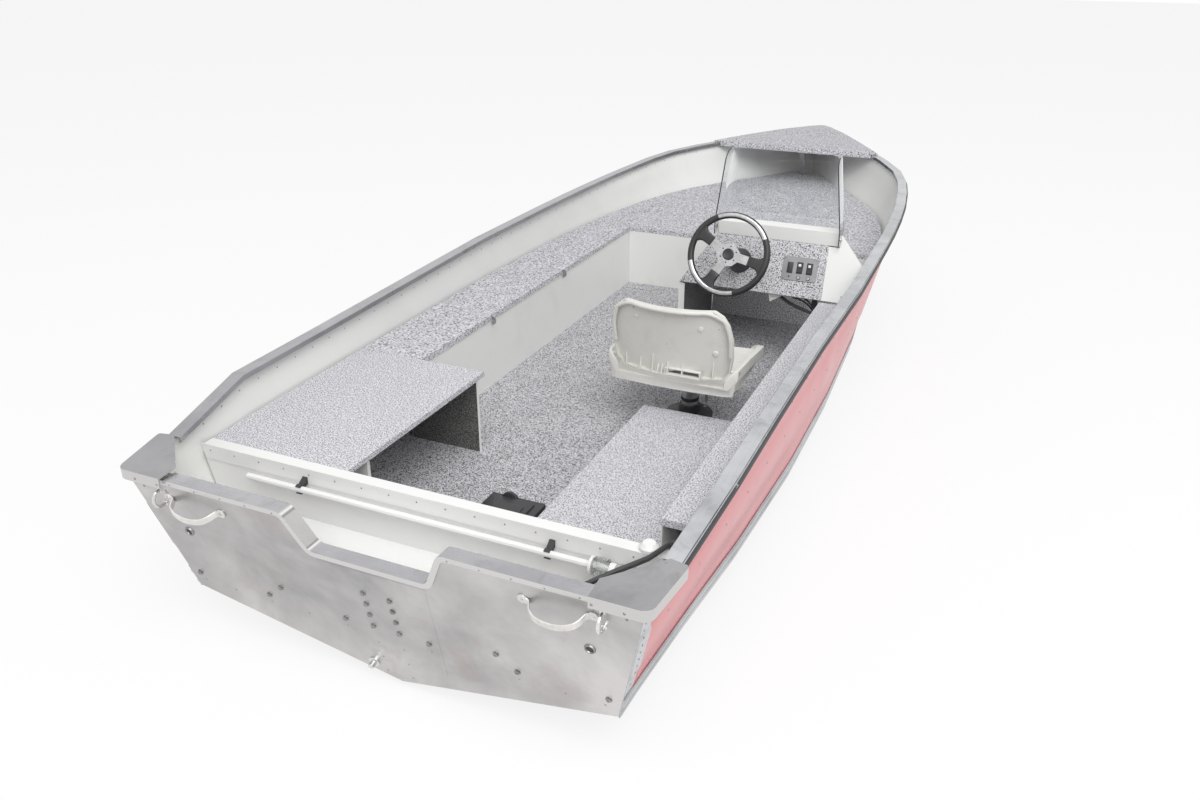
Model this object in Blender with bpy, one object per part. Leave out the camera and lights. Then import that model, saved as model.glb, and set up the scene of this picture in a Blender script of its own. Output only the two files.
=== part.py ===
"""Open riveted aluminium boat with a side console, one swivel seat and raised decks.

Metres. +X is starboard, +Y is the bow, +Z is up. The heights below are from the bottom
plates' lowest line. At the end the boat is set at its waterline, so the origin is on the
centreline, over the foot of the transom, at the water's surface.
"""

import math

import bmesh
import bpy
from mathutils import Matrix, Vector

WATERLINE = 0.165     # draught of the empty boat with a motor
GAP = 0.0003          # between pieces that touch
SKIN = 0.003          # hull sheet
HULL_CLEAR = 0.0013   # from a deck's edge to the side sheet
BOTTOM_CLEAR = 0.0080  # from a deck's edge to the bottom sheet
PANEL = 0.004         # painted inner panel
DECK = 0.025          # carpeted deck board

# The hull's stations: y, half-breadth and height of the sheer, of the chine, height of the keel line
STATIONS = (
    (-0.150, 0.856, 0.603, 0.738, 0.169, 0.000),
    (0.060, 0.878, 0.649, 0.745, 0.169, 0.000),
    (0.400, 0.914, 0.722, 0.765, 0.168, 0.000),
    (0.830, 0.915, 0.733, 0.800, 0.168, 0.000),
    (1.440, 0.921, 0.750, 0.826, 0.170, 0.000),
    (2.100, 0.938, 0.762, 0.822, 0.175, 0.000),
    (2.765, 0.931, 0.767, 0.798, 0.200, 0.000),
    (3.320, 0.913, 0.771, 0.735, 0.245, 0.002),
    (3.870, 0.862, 0.781, 0.625, 0.315, 0.012),
    (4.310, 0.762, 0.800, 0.485, 0.400, 0.050),
    (4.755, 0.512, 0.818, 0.290, 0.510, 0.155),
    (5.140, 0.289, 0.825, 0.135, 0.630, 0.345),
    (5.390, 0.138, 0.822, 0.055, 0.725, 0.575),
    (5.500, 0.050, 0.818, 0.024, 0.775, 0.735),
)
FAIRED_FROM = 2.7     # forward of this the stations are halved for a fair curve

# Transom
TRANSOM_RAKE = math.radians(12.3)
TRANSOM_THICK = 0.045
TRANSOM_TOP = 0.6205
NOTCH_TOP_HALF = 0.262
NOTCH_FOOT_HALF = 0.200
NOTCH_FOOT = 0.489
NOTCH_ROUND = 0.032
CAP_HALF = 0.700
CAP_THICK = 0.004
CAP_LIP = 0.014
TRANSOM_CORNER = 0.0355    # how far under the top line the outline turns in beneath the castings
TRANSOM_TURN_IN = 0.035
CLAMP_HALF = 0.185         # the clear face below the notch, on which a motor's bracket clamps
CLAMP_FOOT = 0.100
CLAMP_HEAD = NOTCH_FOOT - CAP_LIP - 0.010
CLAMP_PROUD = 0.0004       # that face's land stands this far aft of the rest

# Corner castings: x and y of the outline, clockwise from the inner aft corner
CASTING_OUTLINE = ((0.702, -0.150), (0.868, -0.150), (0.897, 0.048), (0.842, 0.058), (0.702, -0.078))
CASTING_TOP = 0.634
CASTING_RISE = 0.1
CASTING_PLATE = 0.006
CASTING_SKIRT = 0.034
CASTING_WALL = 0.005
CASTING_ROUND = 0.030

# Transom fittings
HANDLE_RADIUS = 0.0075
EYE_X, EYE_Z = 0.732, 0.552
EYE_HALF = 0.026
EYE_LEG = 0.010
EYE_REACH = 0.036
EYE_RADIUS = 0.005
# x, height and stand-off of the points along a lifting handle
HANDLE_STAND = ((0.516, 0.545, GAP), (0.516, 0.545, 0.014), (0.532, 0.541, 0.036), (0.560, 0.536, 0.048),
                (0.604, 0.534, 0.052), (0.650, 0.540, 0.048), (0.677, 0.548, 0.036), (0.692, 0.553, 0.014),
                (0.692, 0.553, GAP))
PLUG_PLACE = (-0.088, 0.059)
PLUG_PROFILE = ((0, 0), (0.019, 0), (0.019, 0.005), (0.010, 0.007), (0.010, 0.024), (0, 0.026))

# Gunwale extrusion and rub strip
GUNWALE_START = 0.0585
GUNWALE_WIDE = 0.050
GUNWALE_DEEP = 0.042
GUNWALE_INNER_LIP = 0.020
GUNWALE_WALL = 0.004
SHEET_PLAY = 0.0015   # of the side sheet in the gunwale's channel
RUB_THICK = 0.007
RUB_TOP = 0.010
RUB_FOOT = 0.034
RUB_BEVEL = 0.005

# Hull sheet details: share of the side's height and step outwards
SIDE_CREASES = ((0.24, 0.000), (0.27, 0.005), (0.62, 0.005), (0.65, 0.000))
STRAKES = (0.36, 0.70)
STRAKE_HALF = 0.018
STRAKE_DEEP = 0.012
CHINE_RAIL_TALL = 0.080
RAIL_MOST = 0.33      # of the side's height, near the bow
CHINE_RAIL_FOOT = 0.004
CHINE_RAIL_WALL = 0.004
CHINE_RAIL_RIDGE = 0.004
KEEL_HALF = 0.018
KEEL_FIN = 0.006
KEEL_FLANGE = 0.004
KEEL_SLOPE = 0.002
KEEL_DEEP = 0.024
CENTRE_SEAM = 0.0005

# Inside levels and lengths
FLOOR_TOP = 0.2350
FLOOR_THICK = 0.012
SHELF_TOP = 0.570
SPLASH_AFT = 0.160
SPLASH_TOP = 0.575
SPLASH_LEVELS = (0.0, 0.36, 0.65, 1.0)    # where the bulkhead's edge turns to follow the hull
PAN_HEIGHT = 0.360
PAN_SLOPE = 0.15
TRIM_DEEP = 0.050
TRIM_FLANGE = 0.036
TRIM_THICK = 0.003
BENCH_AFT = 0.190
BENCH_FORWARD = 1.070
BENCH_INNER = -0.297
BENCH_THICK = 0.020
LEG_AFT = 0.330
LEG_FORWARD = 1.030
LEG_SPAN = (-0.620, -0.312)
LEG_THICK = 0.015
PORT_WALL = -0.590
SHELF_NOSE = 0.004    # how far the port shelf's edge stands past its wall
CAST_DECK_AFT = 3.240
CAST_DECK_FORWARD = 5.080
BOW_SWEEP = 2.7       # forward of this a deck edge follows the hull more closely
STAR_SHELF_INNER = 0.705
STAR_SHELF_AFT = 0.356
STAR_SHELF_FORWARD = 2.396
PLATFORM_INNER = 0.196
PLATFORM_TOP = 0.335
PLATFORM_FORWARD = 1.510
PLATFORM_WALL = 0.012
CLEAT_WIDE = 0.022
CLEAT_DEEP = 0.030

# Bow
BOW_PLATE_AFT = 4.660
BOW_PLATE_THICK = 0.010
BOW_PLATE_LIP = 0.024
BOW_PLATE_INSET = 0.018
BOW_LIP_THICK = 0.004
BOW_CAP_AFT = 5.440
BOW_CAP_TIP = 5.540
BOW_CAP_THICK = 0.008
BOW_CAP_SHOULDER = 0.55    # its half-breadth half way to the tip, as a share of its aft edge's
BOW_CAP_TIP_HALF = 0.012
BOW_CAP_PROUD = 0.004
BRACE_FOOT_Y = 5.000
BRACE_HEAD_Y = 4.930
BRACE_HALF = 0.016
BRACE_THICK = 0.006
BOW_EYE_Y = 5.140
BOW_EYE_REACH = 0.045
BOW_EYE_HALF = 0.035
BOW_EYE_RADIUS = 0.005

# Console
DASH_FOOT = (2.400, 0.578)    # y, z of the dash panel's lower aft edge
DASH_HEAD = (2.500, 0.810)
DASH_FOOT_SPAN = (0.020, STAR_SHELF_INNER + 0.007)
DASH_HEAD_SPAN = (0.172, 0.706)
DASH_THICK = 0.012
COWL_TOP = 0.872
COWL_RISE = 0.006
COWL_FORWARD = 2.560
CONSOLE_FRONT = 2.960
CONSOLE_SHOULDER = 0.600
CONSOLE_SPAN = (0.172, 0.750)
CONSOLE_SHEET = 0.004
CONSOLE_RIGHT_FOOT = 0.700
CHEEK_FLANGE = 0.026
CHEEK_SETBACK = 0.012
# The white wing between the dash and the hull
WING_SHEET = 0.004
WING_STEP = 0.806
WING_TOP = 0.862
WING_SHOULDER_SHARE = 0.730    # of the way from the glass to the hull
WING_SHOULDER_Z = 0.741
GLASS_THICK = 0.004
GLASS_TOP = 1.205
GLASS_FRONT = 2.606
GLASS_AFT = 2.470
GLASS_TAPER = 0.040
GLASS_LEAN = 0.010
GLASS_ROUND = 0.045
GLASS_TAB = 0.062     # length of the tab that hangs beside the cowl
GLASS_TAB_FOOT = 0.814
SWITCH_PANEL = (0.202, 0.040, 0.075, 0.185)   # from the dash's starboard foot inwards, then up the dash
SWITCH_THICK = 0.004

# Steering wheel and helm
WHEEL_HUB = (0.301, 2.260, 0.785)
WHEEL_RADIUS = 0.178
WHEEL_RIM = 0.0150
SPIDER_RADIUS = 0.052
SPIDER_THICK = 0.005
SPOKE_ANGLES = (150.0, -12.0, -118.0)
SPOKE_HALF = 0.020
HUB_RADIUS = 0.026
HELM_RADIUS = 0.055
HELM_BOX_RADIUS = 0.050
HELM_BOX_DEEP = 0.060
HUB_TALL = 0.011
HUB_EASE = 0.005
BOSS_LONG = 0.085
BOSS_PROFILE = ((0.034, 0.0), (0.040, 0.020), (0.030, BOSS_LONG))    # radius, distance behind the spider
BEZEL_NECK = ((0.026, 0.0), (0.030, 0.020))
BEZEL_SKIRT = 0.018

# Seat
SEAT_POST = (0.330, 1.710)
BASE_RADIUS = 0.100
POST_RADIUS = 0.035
POST_TOP = 0.440
BASE_TALL = 0.045
# Radius and height of the foot's rim and of the collar round the post
BASE_PROFILE = ((BASE_RADIUS, 0.0), (BASE_RADIUS, 0.006), (BASE_RADIUS - 0.012, 0.012),
                (POST_RADIUS + 0.014, 0.020), (POST_RADIUS + 0.010, BASE_TALL))
SWIVEL_TALL = 0.036
SWIVEL_COLLAR_HALF = 0.050
SWIVEL_PLATE_HALF = 0.095
SWIVEL_PLATE_THICK = 0.008
SEAT_SHELL = 0.005
SEAT_SIDE_TALL = 0.044
SEAT_SLOPE = 0.005
BACK_HINGE_AFT = 0.232    # from the swivel's axis aft to the fold's axis
BACK_HINGE_RISE = 0.120   # above the post's top
BACK_PIN = 0.0060
BACK_PIN_CLEAR = 0.0005
BACK_RIM = 0.026
BACK_SET = 0.030          # how far the back's middle stands aft of the fold's axis
BACK_CURVE = 0.042

SEAT_ROWS = (
    # y from the post, half-breadth, rise of the middle, of the side, side's width, depth under the middle
    (-0.264, 0.238, 0.014, 0.060, 0.012, 0.036),
    (-0.252, 0.268, 0.014, 0.096, 0.012, 0.036),
    (-0.248, 0.272, 0.004, 0.100, 0.012, 0.005),
    (-0.205, 0.278, 0.001, 0.104, 0.012, 0.005),
    (-0.100, 0.280, 0.000, 0.100, 0.016, 0.005),
    (0.060, 0.278, 0.000, 0.080, 0.022, 0.005),
    (0.150, 0.268, 0.003, 0.058, 0.030, 0.005),
    (0.200, 0.252, 0.006, 0.036, 0.034, 0.005),
    (0.216, 0.232, -0.004, 0.018, 0.034, 0.005),
)
BACK_ROWS = (
    # height over the hinge, half-breadth, aft lean
    (-0.040, 0.205, -0.006),
    (0.000, 0.238, 0.000),
    (0.060, 0.247, 0.010),
    (0.140, 0.248, 0.028),
    (0.205, 0.234, 0.044),
    (0.242, 0.212, 0.054),
    (0.262, 0.178, 0.060),
)

# Stowed stern light, its clips and its socket
POLE_OFF = 0.034          # from the bulkhead aft to the pole's axis
POLE_Z = 0.520
POLE_SPAN = (-0.627, 0.586)
POLE_RADIUS = 0.011
GLOBE_PROFILE = ((0, 0), (0.020, 0), (0.027, 0.008), (0.027, 0.050), (0.018, 0.058), (0.018, 0.072),
                 (0, 0.074))
CLIPS = (-0.420, 0.452)
CLIP_CLEAR = 0.0005
CLIP_WALL = 0.004
CLIP_HALF = 0.009
CLIP_FOOT = (0.024, 0.002)
SOCKET_X = 0.735
SOCKET_SETBACK = 0.022
SOCKET_PROFILE = ((0, 0), (0.028, 0), (0.028, 0.010), (0.018, 0.022), (0, 0.022))

# Battery tray and steering cable
TRAY_SPAN = ((-0.060, 0.150), (0.420, 0.700))
TRAY_TALL = 0.055
CABLE_POINTS = (
    (0.360, 2.500, 0.650), (0.420, 2.490, 0.600), (0.560, 2.440, 0.530), (0.720, 2.340, 0.515),
    (0.770, 2.100, 0.510), (0.785, 1.500, 0.505), (0.785, 0.900, 0.505), (0.785, 0.500, 0.515),
    (0.785, 0.370, 0.526), (0.785, 0.280, 0.556), (0.781, 0.200, 0.592), (0.765, 0.100, 0.608),
    (0.710, 0.020, 0.604), (0.640, -0.040, 0.575), (0.590, -0.063, 0.530),
)
CABLE_STEP = 0.045
CABLE_RADIUS = 0.008


def clear_scene():
    for obj in list(bpy.data.objects):
        bpy.data.objects.remove(obj, do_unlink=True)


def material(name, colour, roughness, metallic=0.0, alpha=1.0):
    """A Principled material, made once and shared by the pieces of one finish."""
    made = bpy.data.materials.get(name) or bpy.data.materials.new(name)
    made.use_nodes = True
    shader = made.node_tree.nodes["Principled BSDF"]
    shader.inputs["Base Color"].default_value = (*colour, 1.0)
    shader.inputs["Roughness"].default_value = roughness
    shader.inputs["Metallic"].default_value = metallic
    shader.inputs["Alpha"].default_value = alpha
    return made


FINISHES = {
    "bare": ("mill_aluminium", (0.70, 0.69, 0.68), 0.38, 0.9),
    "cast": ("cast_aluminium", (0.66, 0.66, 0.66), 0.42, 0.9),
    "red": ("red_paint", (0.72, 0.16, 0.18), 0.35, 0.0),
    "white": ("white_paint", (0.86, 0.86, 0.84), 0.45, 0.0),
    "vinyl": ("speckled_vinyl", (0.52, 0.52, 0.54), 0.80, 0.0),
    "black": ("black_plastic", (0.03, 0.03, 0.035), 0.45, 0.0),
    "seat": ("moulded_seat", (0.68, 0.67, 0.64), 0.50, 0.0),
    "steel": ("polished_steel", (0.75, 0.75, 0.75), 0.20, 1.0),
    "clear": ("clear_acrylic", (0.90, 0.93, 0.94), 0.05, 0.0, 0.25),
    "dark": ("anodised_panel", (0.42, 0.42, 0.43), 0.45, 0.6),
}


def add_object(name, bm, finish, parent=None):
    """Turns a bmesh into a named, smooth-shaded object with its faces facing out."""
    bmesh.ops.recalc_face_normals(bm, faces=bm.faces)
    mesh = bpy.data.meshes.new(name)
    bm.to_mesh(mesh)
    bm.free()
    mesh.shade_smooth()
    mesh.set_sharp_from_angle(angle=math.radians(30))
    obj = bpy.data.objects.new(name, mesh)
    bpy.context.scene.collection.objects.link(obj)
    obj.data.materials.append(material(*FINISHES[finish]))
    obj.parent = parent
    return obj


def folded(quad):
    """A warped quad's two triangles, split along the diagonal that lies further out and lower.

    Both faces of a thin sheet then fold along the same line.
    """
    a, b, c, d = (vertex.co for vertex in quad)
    side = 1.0 if a.x + b.x + c.x + d.x > 0 else -1.0
    outwards = Vector((side, 0.0, -1.0))
    first = 0 if (a + c - b - d).dot(outwards) >= 0 else 1
    turned_quad = quad[first:] + quad[:first]
    return turned_quad[:3], (turned_quad[0], *turned_quad[2:])


def loft_mesh(rings, closed=False, fold=False, ends=True):
    """Joins rings of points, each a closed loop of the same count, into one solid."""
    bm = bmesh.new()
    loops = [[bm.verts.new(point) for point in ring] for ring in rings]
    pairs = list(zip(loops, loops[1:]))
    if closed:
        pairs.append((loops[-1], loops[0]))
    count = len(loops[0])
    for first, second in pairs:
        for i in range(count):
            j = (i + 1) % count
            quad = (first[i], first[j], second[j], second[i])
            for corners in folded(quad) if fold else (quad,):
                bm.faces.new(corners)
    if ends and not closed:
        bm.faces.new(loops[0])
        bm.faces.new(loops[-1])
    return bm


def loft(name, rings, finish, parent=None, closed=False, fold=False):
    return add_object(name, loft_mesh(rings, closed, fold), finish, parent)


def slab(name, outline, low, high, finish, parent=None):
    """A board of plan outline (x, y) between two heights, each a number or a function of x and y."""
    level = [z if callable(z) else (lambda x, y, fixed=z: fixed) for z in (low, high)]
    rings = [[(x, y, z(x, y)) for x, y in outline] for z in level]
    return loft(name, rings, finish, parent)


def box(name, xs, ys, zs, finish, parent=None):
    (x0, x1), (y0, y1) = xs, ys
    return slab(name, ((x0, y0), (x1, y0), (x1, y1), (x0, y1)), zs[0], zs[1], finish, parent)


def cross_panel(name, outline, y0, y1, finish, parent=None):
    """A panel of outline (x, z) that stands across the boat from y0 to y1."""
    rings = [[(x, y, z) for x, z in outline] for y in (y0, y1)]
    return loft(name, rings, finish, parent)


def turned(name, profile, finish, parent=None, segments=32, place=None):
    """A solid of revolution about Z from (radius, height) points that start and end on the axis."""
    bm = bmesh.new()
    points = [bm.verts.new((radius, 0.0, height)) for radius, height in profile]
    edges = [bm.edges.new(pair) for pair in zip(points, points[1:])]
    bmesh.ops.spin(bm, geom=points + edges, cent=(0, 0, 0), axis=(0, 0, 1),
                   angle=2 * math.pi, steps=segments, use_merge=True)
    bmesh.ops.remove_doubles(bm, verts=bm.verts, dist=1e-5)
    if place is not None:
        bmesh.ops.transform(bm, matrix=place, verts=bm.verts)
    return add_object(name, bm, finish, parent)


def tube(name, points, radius, finish, resolution=3):
    """A round bar or cable along a line of points."""
    curve = bpy.data.curves.new(name, "CURVE")
    curve.dimensions = "3D"
    curve.bevel_depth = radius
    curve.bevel_resolution = resolution
    curve.use_fill_caps = True
    spline = curve.splines.new("POLY")
    spline.points.add(len(points) - 1)
    for point, co in zip(spline.points, points):
        point.co = (*co, 1.0)
    obj = bpy.data.objects.new(name, curve)
    bpy.context.scene.collection.objects.link(obj)
    obj.data.materials.append(material(*FINISHES[finish]))
    return obj


def smooth_path(points, spacing):
    """Points about this far apart along a smooth curve through the given ones."""
    points = [Vector(point) for point in points]
    ends = [2 * points[0] - points[1], *points, 2 * points[-1] - points[-2]]
    made = []
    for before, start, stop, after in zip(ends, ends[1:], ends[2:], ends[3:]):
        steps = max(1, round((stop - start).length / spacing))
        for step in range(steps):
            t = step / steps
            made.append(0.5 * (2 * start + (stop - before) * t
                               + (2 * before - 5 * start + 4 * stop - after) * t ** 2
                               + (3 * start - before - 3 * stop + after) * t ** 3))
    made.append(points[-1])
    return made


def arc_corner(previous, corner, following, radius, steps=4):
    """Replaces a corner of a flat outline by an arc."""
    corner, previous, following = Vector(corner), Vector(previous), Vector(following)
    to_previous = (previous - corner).normalized()
    to_following = (following - corner).normalized()
    half = to_previous.angle(to_following) / 2
    setback = radius / math.tan(half)
    centre = corner + (to_previous + to_following).normalized() * radius / math.sin(half)
    start = corner + to_previous * setback - centre
    stop = corner + to_following * setback - centre
    sweep = start.angle(stop)
    made = []
    for step in range(steps + 1):
        t = step / steps
        spread = (start * math.sin((1 - t) * sweep) + stop * math.sin(t * sweep)) / math.sin(sweep)
        made.append(tuple(centre + spread))
    return made


def rounded(outline, radii, steps=4):
    """A closed flat outline with each corner rounded by its own radius."""
    made = []
    count = len(outline)
    for i, (corner, radius) in enumerate(zip(outline, radii)):
        if radius:
            made += arc_corner(outline[i - 1], corner, outline[(i + 1) % count], radius, steps)
        else:
            made.append(tuple(corner))
    return made


def cut(target, cutter):
    """Cuts a helper out of a piece with a Boolean modifier."""
    cutter.hide_render = True
    cutter.display_type = "WIRE"
    modifier = target.modifiers.new(f"cut_{cutter.name}", "BOOLEAN")
    modifier.operation = "DIFFERENCE"
    modifier.solver = "EXACT"
    modifier.object = cutter


def fair(rows, y):
    """Reads a station table at y, along a curve that passes through its rows."""
    ys = [row[0] for row in rows]
    i = max(0, min(len(rows) - 2, sum(1 for value in ys if value <= y) - 1))
    t = (y - ys[i]) / (ys[i + 1] - ys[i])
    span = ys[i + 1] - ys[i]
    made = []
    for column in range(1, len(rows[0])):
        def value(k):
            return rows[k][column]
        def slope(k):
            if k == 0 or k == len(rows) - 1:
                a, b = (0, 1) if k == 0 else (k - 1, k)
            else:
                a, b = k - 1, k + 1
            return (value(b) - value(a)) / (ys[b] - ys[a])
        a, b = value(i), value(i + 1)
        ma, mb = slope(i) * span, slope(i + 1) * span
        made.append((2 * t**3 - 3 * t**2 + 1) * a + (t**3 - 2 * t**2 + t) * ma
                    + (3 * t**2 - 2 * t**3) * b + (t**3 - t**2) * mb)
    return (y, *made)


def hull_stations():
    made = []
    ys = [row[0] for row in STATIONS]
    for start, stop in zip(ys, ys[1:]):
        made.append(fair(STATIONS, start))
        if start >= FAIRED_FROM:
            made.append(fair(STATIONS, (start + stop) / 2))
    made.append(fair(STATIONS, ys[-1]))
    return made


HULL = hull_stations()


def section(y):
    """The hull's section at y, straight between stations as the sheet is."""
    i = max(0, min(len(HULL) - 2, sum(1 for row in HULL if row[0] <= y) - 1))
    first, second = HULL[i], HULL[i + 1]
    t = (y - first[0]) / (second[0] - first[0])
    return tuple(a + (b - a) * t for a, b in zip(first, second))


SHEET_INSET = RUB_THICK + GUNWALE_WALL + 2 * GAP + SHEET_PLAY


def side_line(row):
    """The side sheet's outer face in a station: top and foot, as (x, z)."""
    _, sheer_half, sheer_z, chine_half, chine_z, _ = row
    top = (max(sheer_half - SHEET_INSET, chine_half), sheer_z - GUNWALE_WALL - GAP)
    return top, (chine_half, chine_z)


def bottom_line(row):
    """The bottom sheet's outer face in a station, from the centreline to the chine."""
    _, _, _, chine_half, chine_z, keel_z = row
    return (0.0, keel_z), (chine_half - SKIN - GAP, chine_z)


def rail_tall(row):
    """How far the chine rail reaches up the side in a station."""
    top, foot = side_line(row)
    return min(CHINE_RAIL_TALL, RAIL_MOST * (top[1] - foot[1]))


def inner_half(y, z):
    """Half-breadth inside the hull at height z, clear of the sheet."""
    row = section(y)
    top, foot = side_line(row)
    t = max(0.0, (z - foot[1]) / (top[1] - foot[1]))
    by_side = foot[0] + (top[0] - foot[0]) * t - SKIN - HULL_CLEAR
    seam, chine = bottom_line(row)
    slope = (chine[1] - seam[1]) / (chine[0] - seam[0])
    rise = SKIN * math.hypot(1, slope)
    by_bottom = seam[0] + (z - rise - seam[1]) / slope - BOTTOM_CLEAR
    return min(by_side, by_bottom)


def level_half(y, low, high):
    return min(inner_half(y, low), inner_half(y, high))


def hull_ys(start, stop):
    """The stations between two ends, with the ends."""
    return [start, *[row[0] for row in HULL if start + 0.01 < row[0] < stop - 0.01], stop]


def rake_y(z):
    """The transom's outer face at height z."""
    return -z * math.tan(TRANSOM_RAKE)


def raked(shape, setback):
    """A ring in the raked plane this far forward of the transom's face, from a function of the section."""
    guess = shape(HULL[0])
    made = []
    for i, (_, z) in enumerate(guess):
        for _ in range(3):
            y = rake_y(z) + setback
            x, z = shape(section(y))[i]
        made.append((x, rake_y(z) + setback, z))
    return made


def hull_rings(shape, setback, side=1):
    """Rings of one hull piece: the first in the transom's plane, the rest at the stations."""
    rings = [raked(shape, setback)]
    rings += [[(x, row[0], z) for x, z in shape(row)] for row in HULL[1:]]
    return [[(side * x, y, z) for x, y, z in ring] for ring in rings]


def make_hull_side(name, side):
    """The painted side sheet, from under the gunwale to the chine, with two pressed steps."""
    def shape(row):
        top, foot = side_line(row)
        tall = top[1] - foot[1]
        fade = min(1.0, tall / 0.30)
        steps = [(0.0, 0.0), *SIDE_CREASES, (1.0 - rail_tall(row) / tall, 0.0), (1.0, 0.0)]
        steps.sort()
        outer = [(top[0] + (foot[0] - top[0]) * t + step * fade, top[1] - tall * t) for t, step in steps]
        return outer + [(x - SKIN, z) for x, z in reversed(outer)]
    return loft(name, hull_rings(shape, TRANSOM_THICK + GAP, side), "red", fold=True)


def make_hull_bottom():
    """The V of the bottom sheet from chine to chine, with its pressed strakes."""
    def shape(row):
        (x0, z0), (x1, z1) = bottom_line(row)
        rise = SKIN * math.hypot(1, (z1 - z0) / (x1 - x0))
        fade = max(0.0, min(1.0, (x1 - x0) / 0.45 - 0.3))
        steps = [(0.0, 0.0)]
        for share in STRAKES:
            half = STRAKE_HALF / max(x1 - x0, 6 * STRAKE_HALF)
            steps += [(share - half, 0.0), (share - half / 2, 1.0)]
            steps += [(share + half / 2, 1.0), (share + half, 0.0)]
        steps.append((1.0, 0.0))
        half = [(x0 + (x1 - x0) * t, z0 + (z1 - z0) * t - STRAKE_DEEP * depth * fade) for t, depth in steps]
        outer = [(-x, z) for x, z in half[:0:-1]] + half
        return outer + [(x, z + rise) for x, z in reversed(outer)]
    return loft("hull_bottom", hull_rings(shape, TRANSOM_THICK + GAP), "bare", fold=True)


def make_chine_rail(name, side):
    """The ribbed extrusion that covers the joint of side and bottom."""
    ribs = ((0.0, 1.0), (0.12, 1.0), (0.16, 2.0), (0.28, 2.0), (0.32, 1.0), (0.60, 1.0), (0.64, 2.0),
            (0.76, 2.0), (0.80, 1.0), (1.0, 1.0))
    def shape(row):
        top, foot = side_line(row)
        tall = rail_tall(row)
        lean = (top[0] - foot[0]) / (top[1] - foot[1])
        fade = min(1.0, tall / CHINE_RAIL_TALL)
        outer = []
        for share, layers in ribs:
            z = -CHINE_RAIL_FOOT + (tall + CHINE_RAIL_FOOT) * share
            wall = CHINE_RAIL_WALL + CHINE_RAIL_RIDGE * (layers - 1.0)
            outer.append((foot[0] + lean * max(z, 0.0) + GAP + wall * fade, foot[1] + z))
        inner = [(foot[0] + lean * tall + GAP, foot[1] + tall), (foot[0] + GAP, foot[1]),
                 (foot[0] + GAP, foot[1] - CHINE_RAIL_FOOT)]
        return outer + inner
    return loft(name, hull_rings(shape, 0.0, side), "bare", fold=True)


def gunwale_rows():
    return [section(y) for y in hull_ys(GUNWALE_START, HULL[-1][0])]


def make_gunwale(name, side):
    """A channel turned upside down over the side sheet's edge, with its rub bead outside."""
    rings = []
    for y, sheer_half, sheer_z, *_ in gunwale_rows():
        outer = sheer_half - RUB_THICK
        inner = max(outer - GUNWALE_WIDE, CENTRE_SEAM)
        wall = min(GUNWALE_WALL, (outer - inner) / 4)
        ring = ((outer, sheer_z - GUNWALE_DEEP), (outer, sheer_z - RUB_FOOT),
                (sheer_half, sheer_z - RUB_FOOT + RUB_BEVEL), (sheer_half, sheer_z - RUB_TOP - RUB_BEVEL),
                (outer, sheer_z - RUB_TOP), (outer, sheer_z - 0.002), (outer - 0.002, sheer_z),
                (inner + 0.002, sheer_z), (inner, sheer_z - 0.002), (inner, sheer_z - GUNWALE_INNER_LIP),
                (inner + wall, sheer_z - GUNWALE_INNER_LIP), (inner + wall, sheer_z - GUNWALE_WALL),
                (outer - wall, sheer_z - GUNWALE_WALL), (outer - wall, sheer_z - GUNWALE_DEEP))
        rings.append([(side * x, y, z) for x, z in ring])
    return loft(name, rings, "bare")


def make_keel():
    """A T bar along the keel line and up the stem."""
    path = [Vector((0, row[0], row[5])) for row in HULL]
    path[0].y = rake_y(0) + TRANSOM_THICK
    half, fin, shoulder = KEEL_HALF, KEEL_FIN, KEEL_FLANGE + KEEL_SLOPE
    tip = fin - KEEL_SLOPE / 2
    profile = ((-half, GAP), (half, GAP), (half, KEEL_FLANGE), (fin, shoulder), (tip, KEEL_DEEP),
               (-tip, KEEL_DEEP), (-fin, shoulder), (-half, KEEL_FLANGE))
    rings = []
    for i, point in enumerate(path):
        along = (path[min(i + 1, len(path) - 1)] - path[max(i - 1, 0)]).normalized()
        outward = Vector((0, along.z, -along.y))
        rings.append([tuple(point + Vector((x, 0, 0)) + outward * depth) for x, depth in profile])
    return loft("keel", rings, "bare")


def transom_top_line():
    """The transom's top line under the cap, as (x, z)."""
    top, foot = TRANSOM_TOP, NOTCH_FOOT
    corners = ((-CAP_HALF, top), (-NOTCH_TOP_HALF, top), (-NOTCH_FOOT_HALF, foot), (NOTCH_FOOT_HALF, foot),
               (NOTCH_TOP_HALF, top), (CAP_HALF, top))
    line = [corners[0]]
    for before, corner, after in zip(corners, corners[1:], corners[2:]):
        line += arc_corner(before, corner, after, NOTCH_ROUND)
    line.append(corners[-1])
    return line


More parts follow.
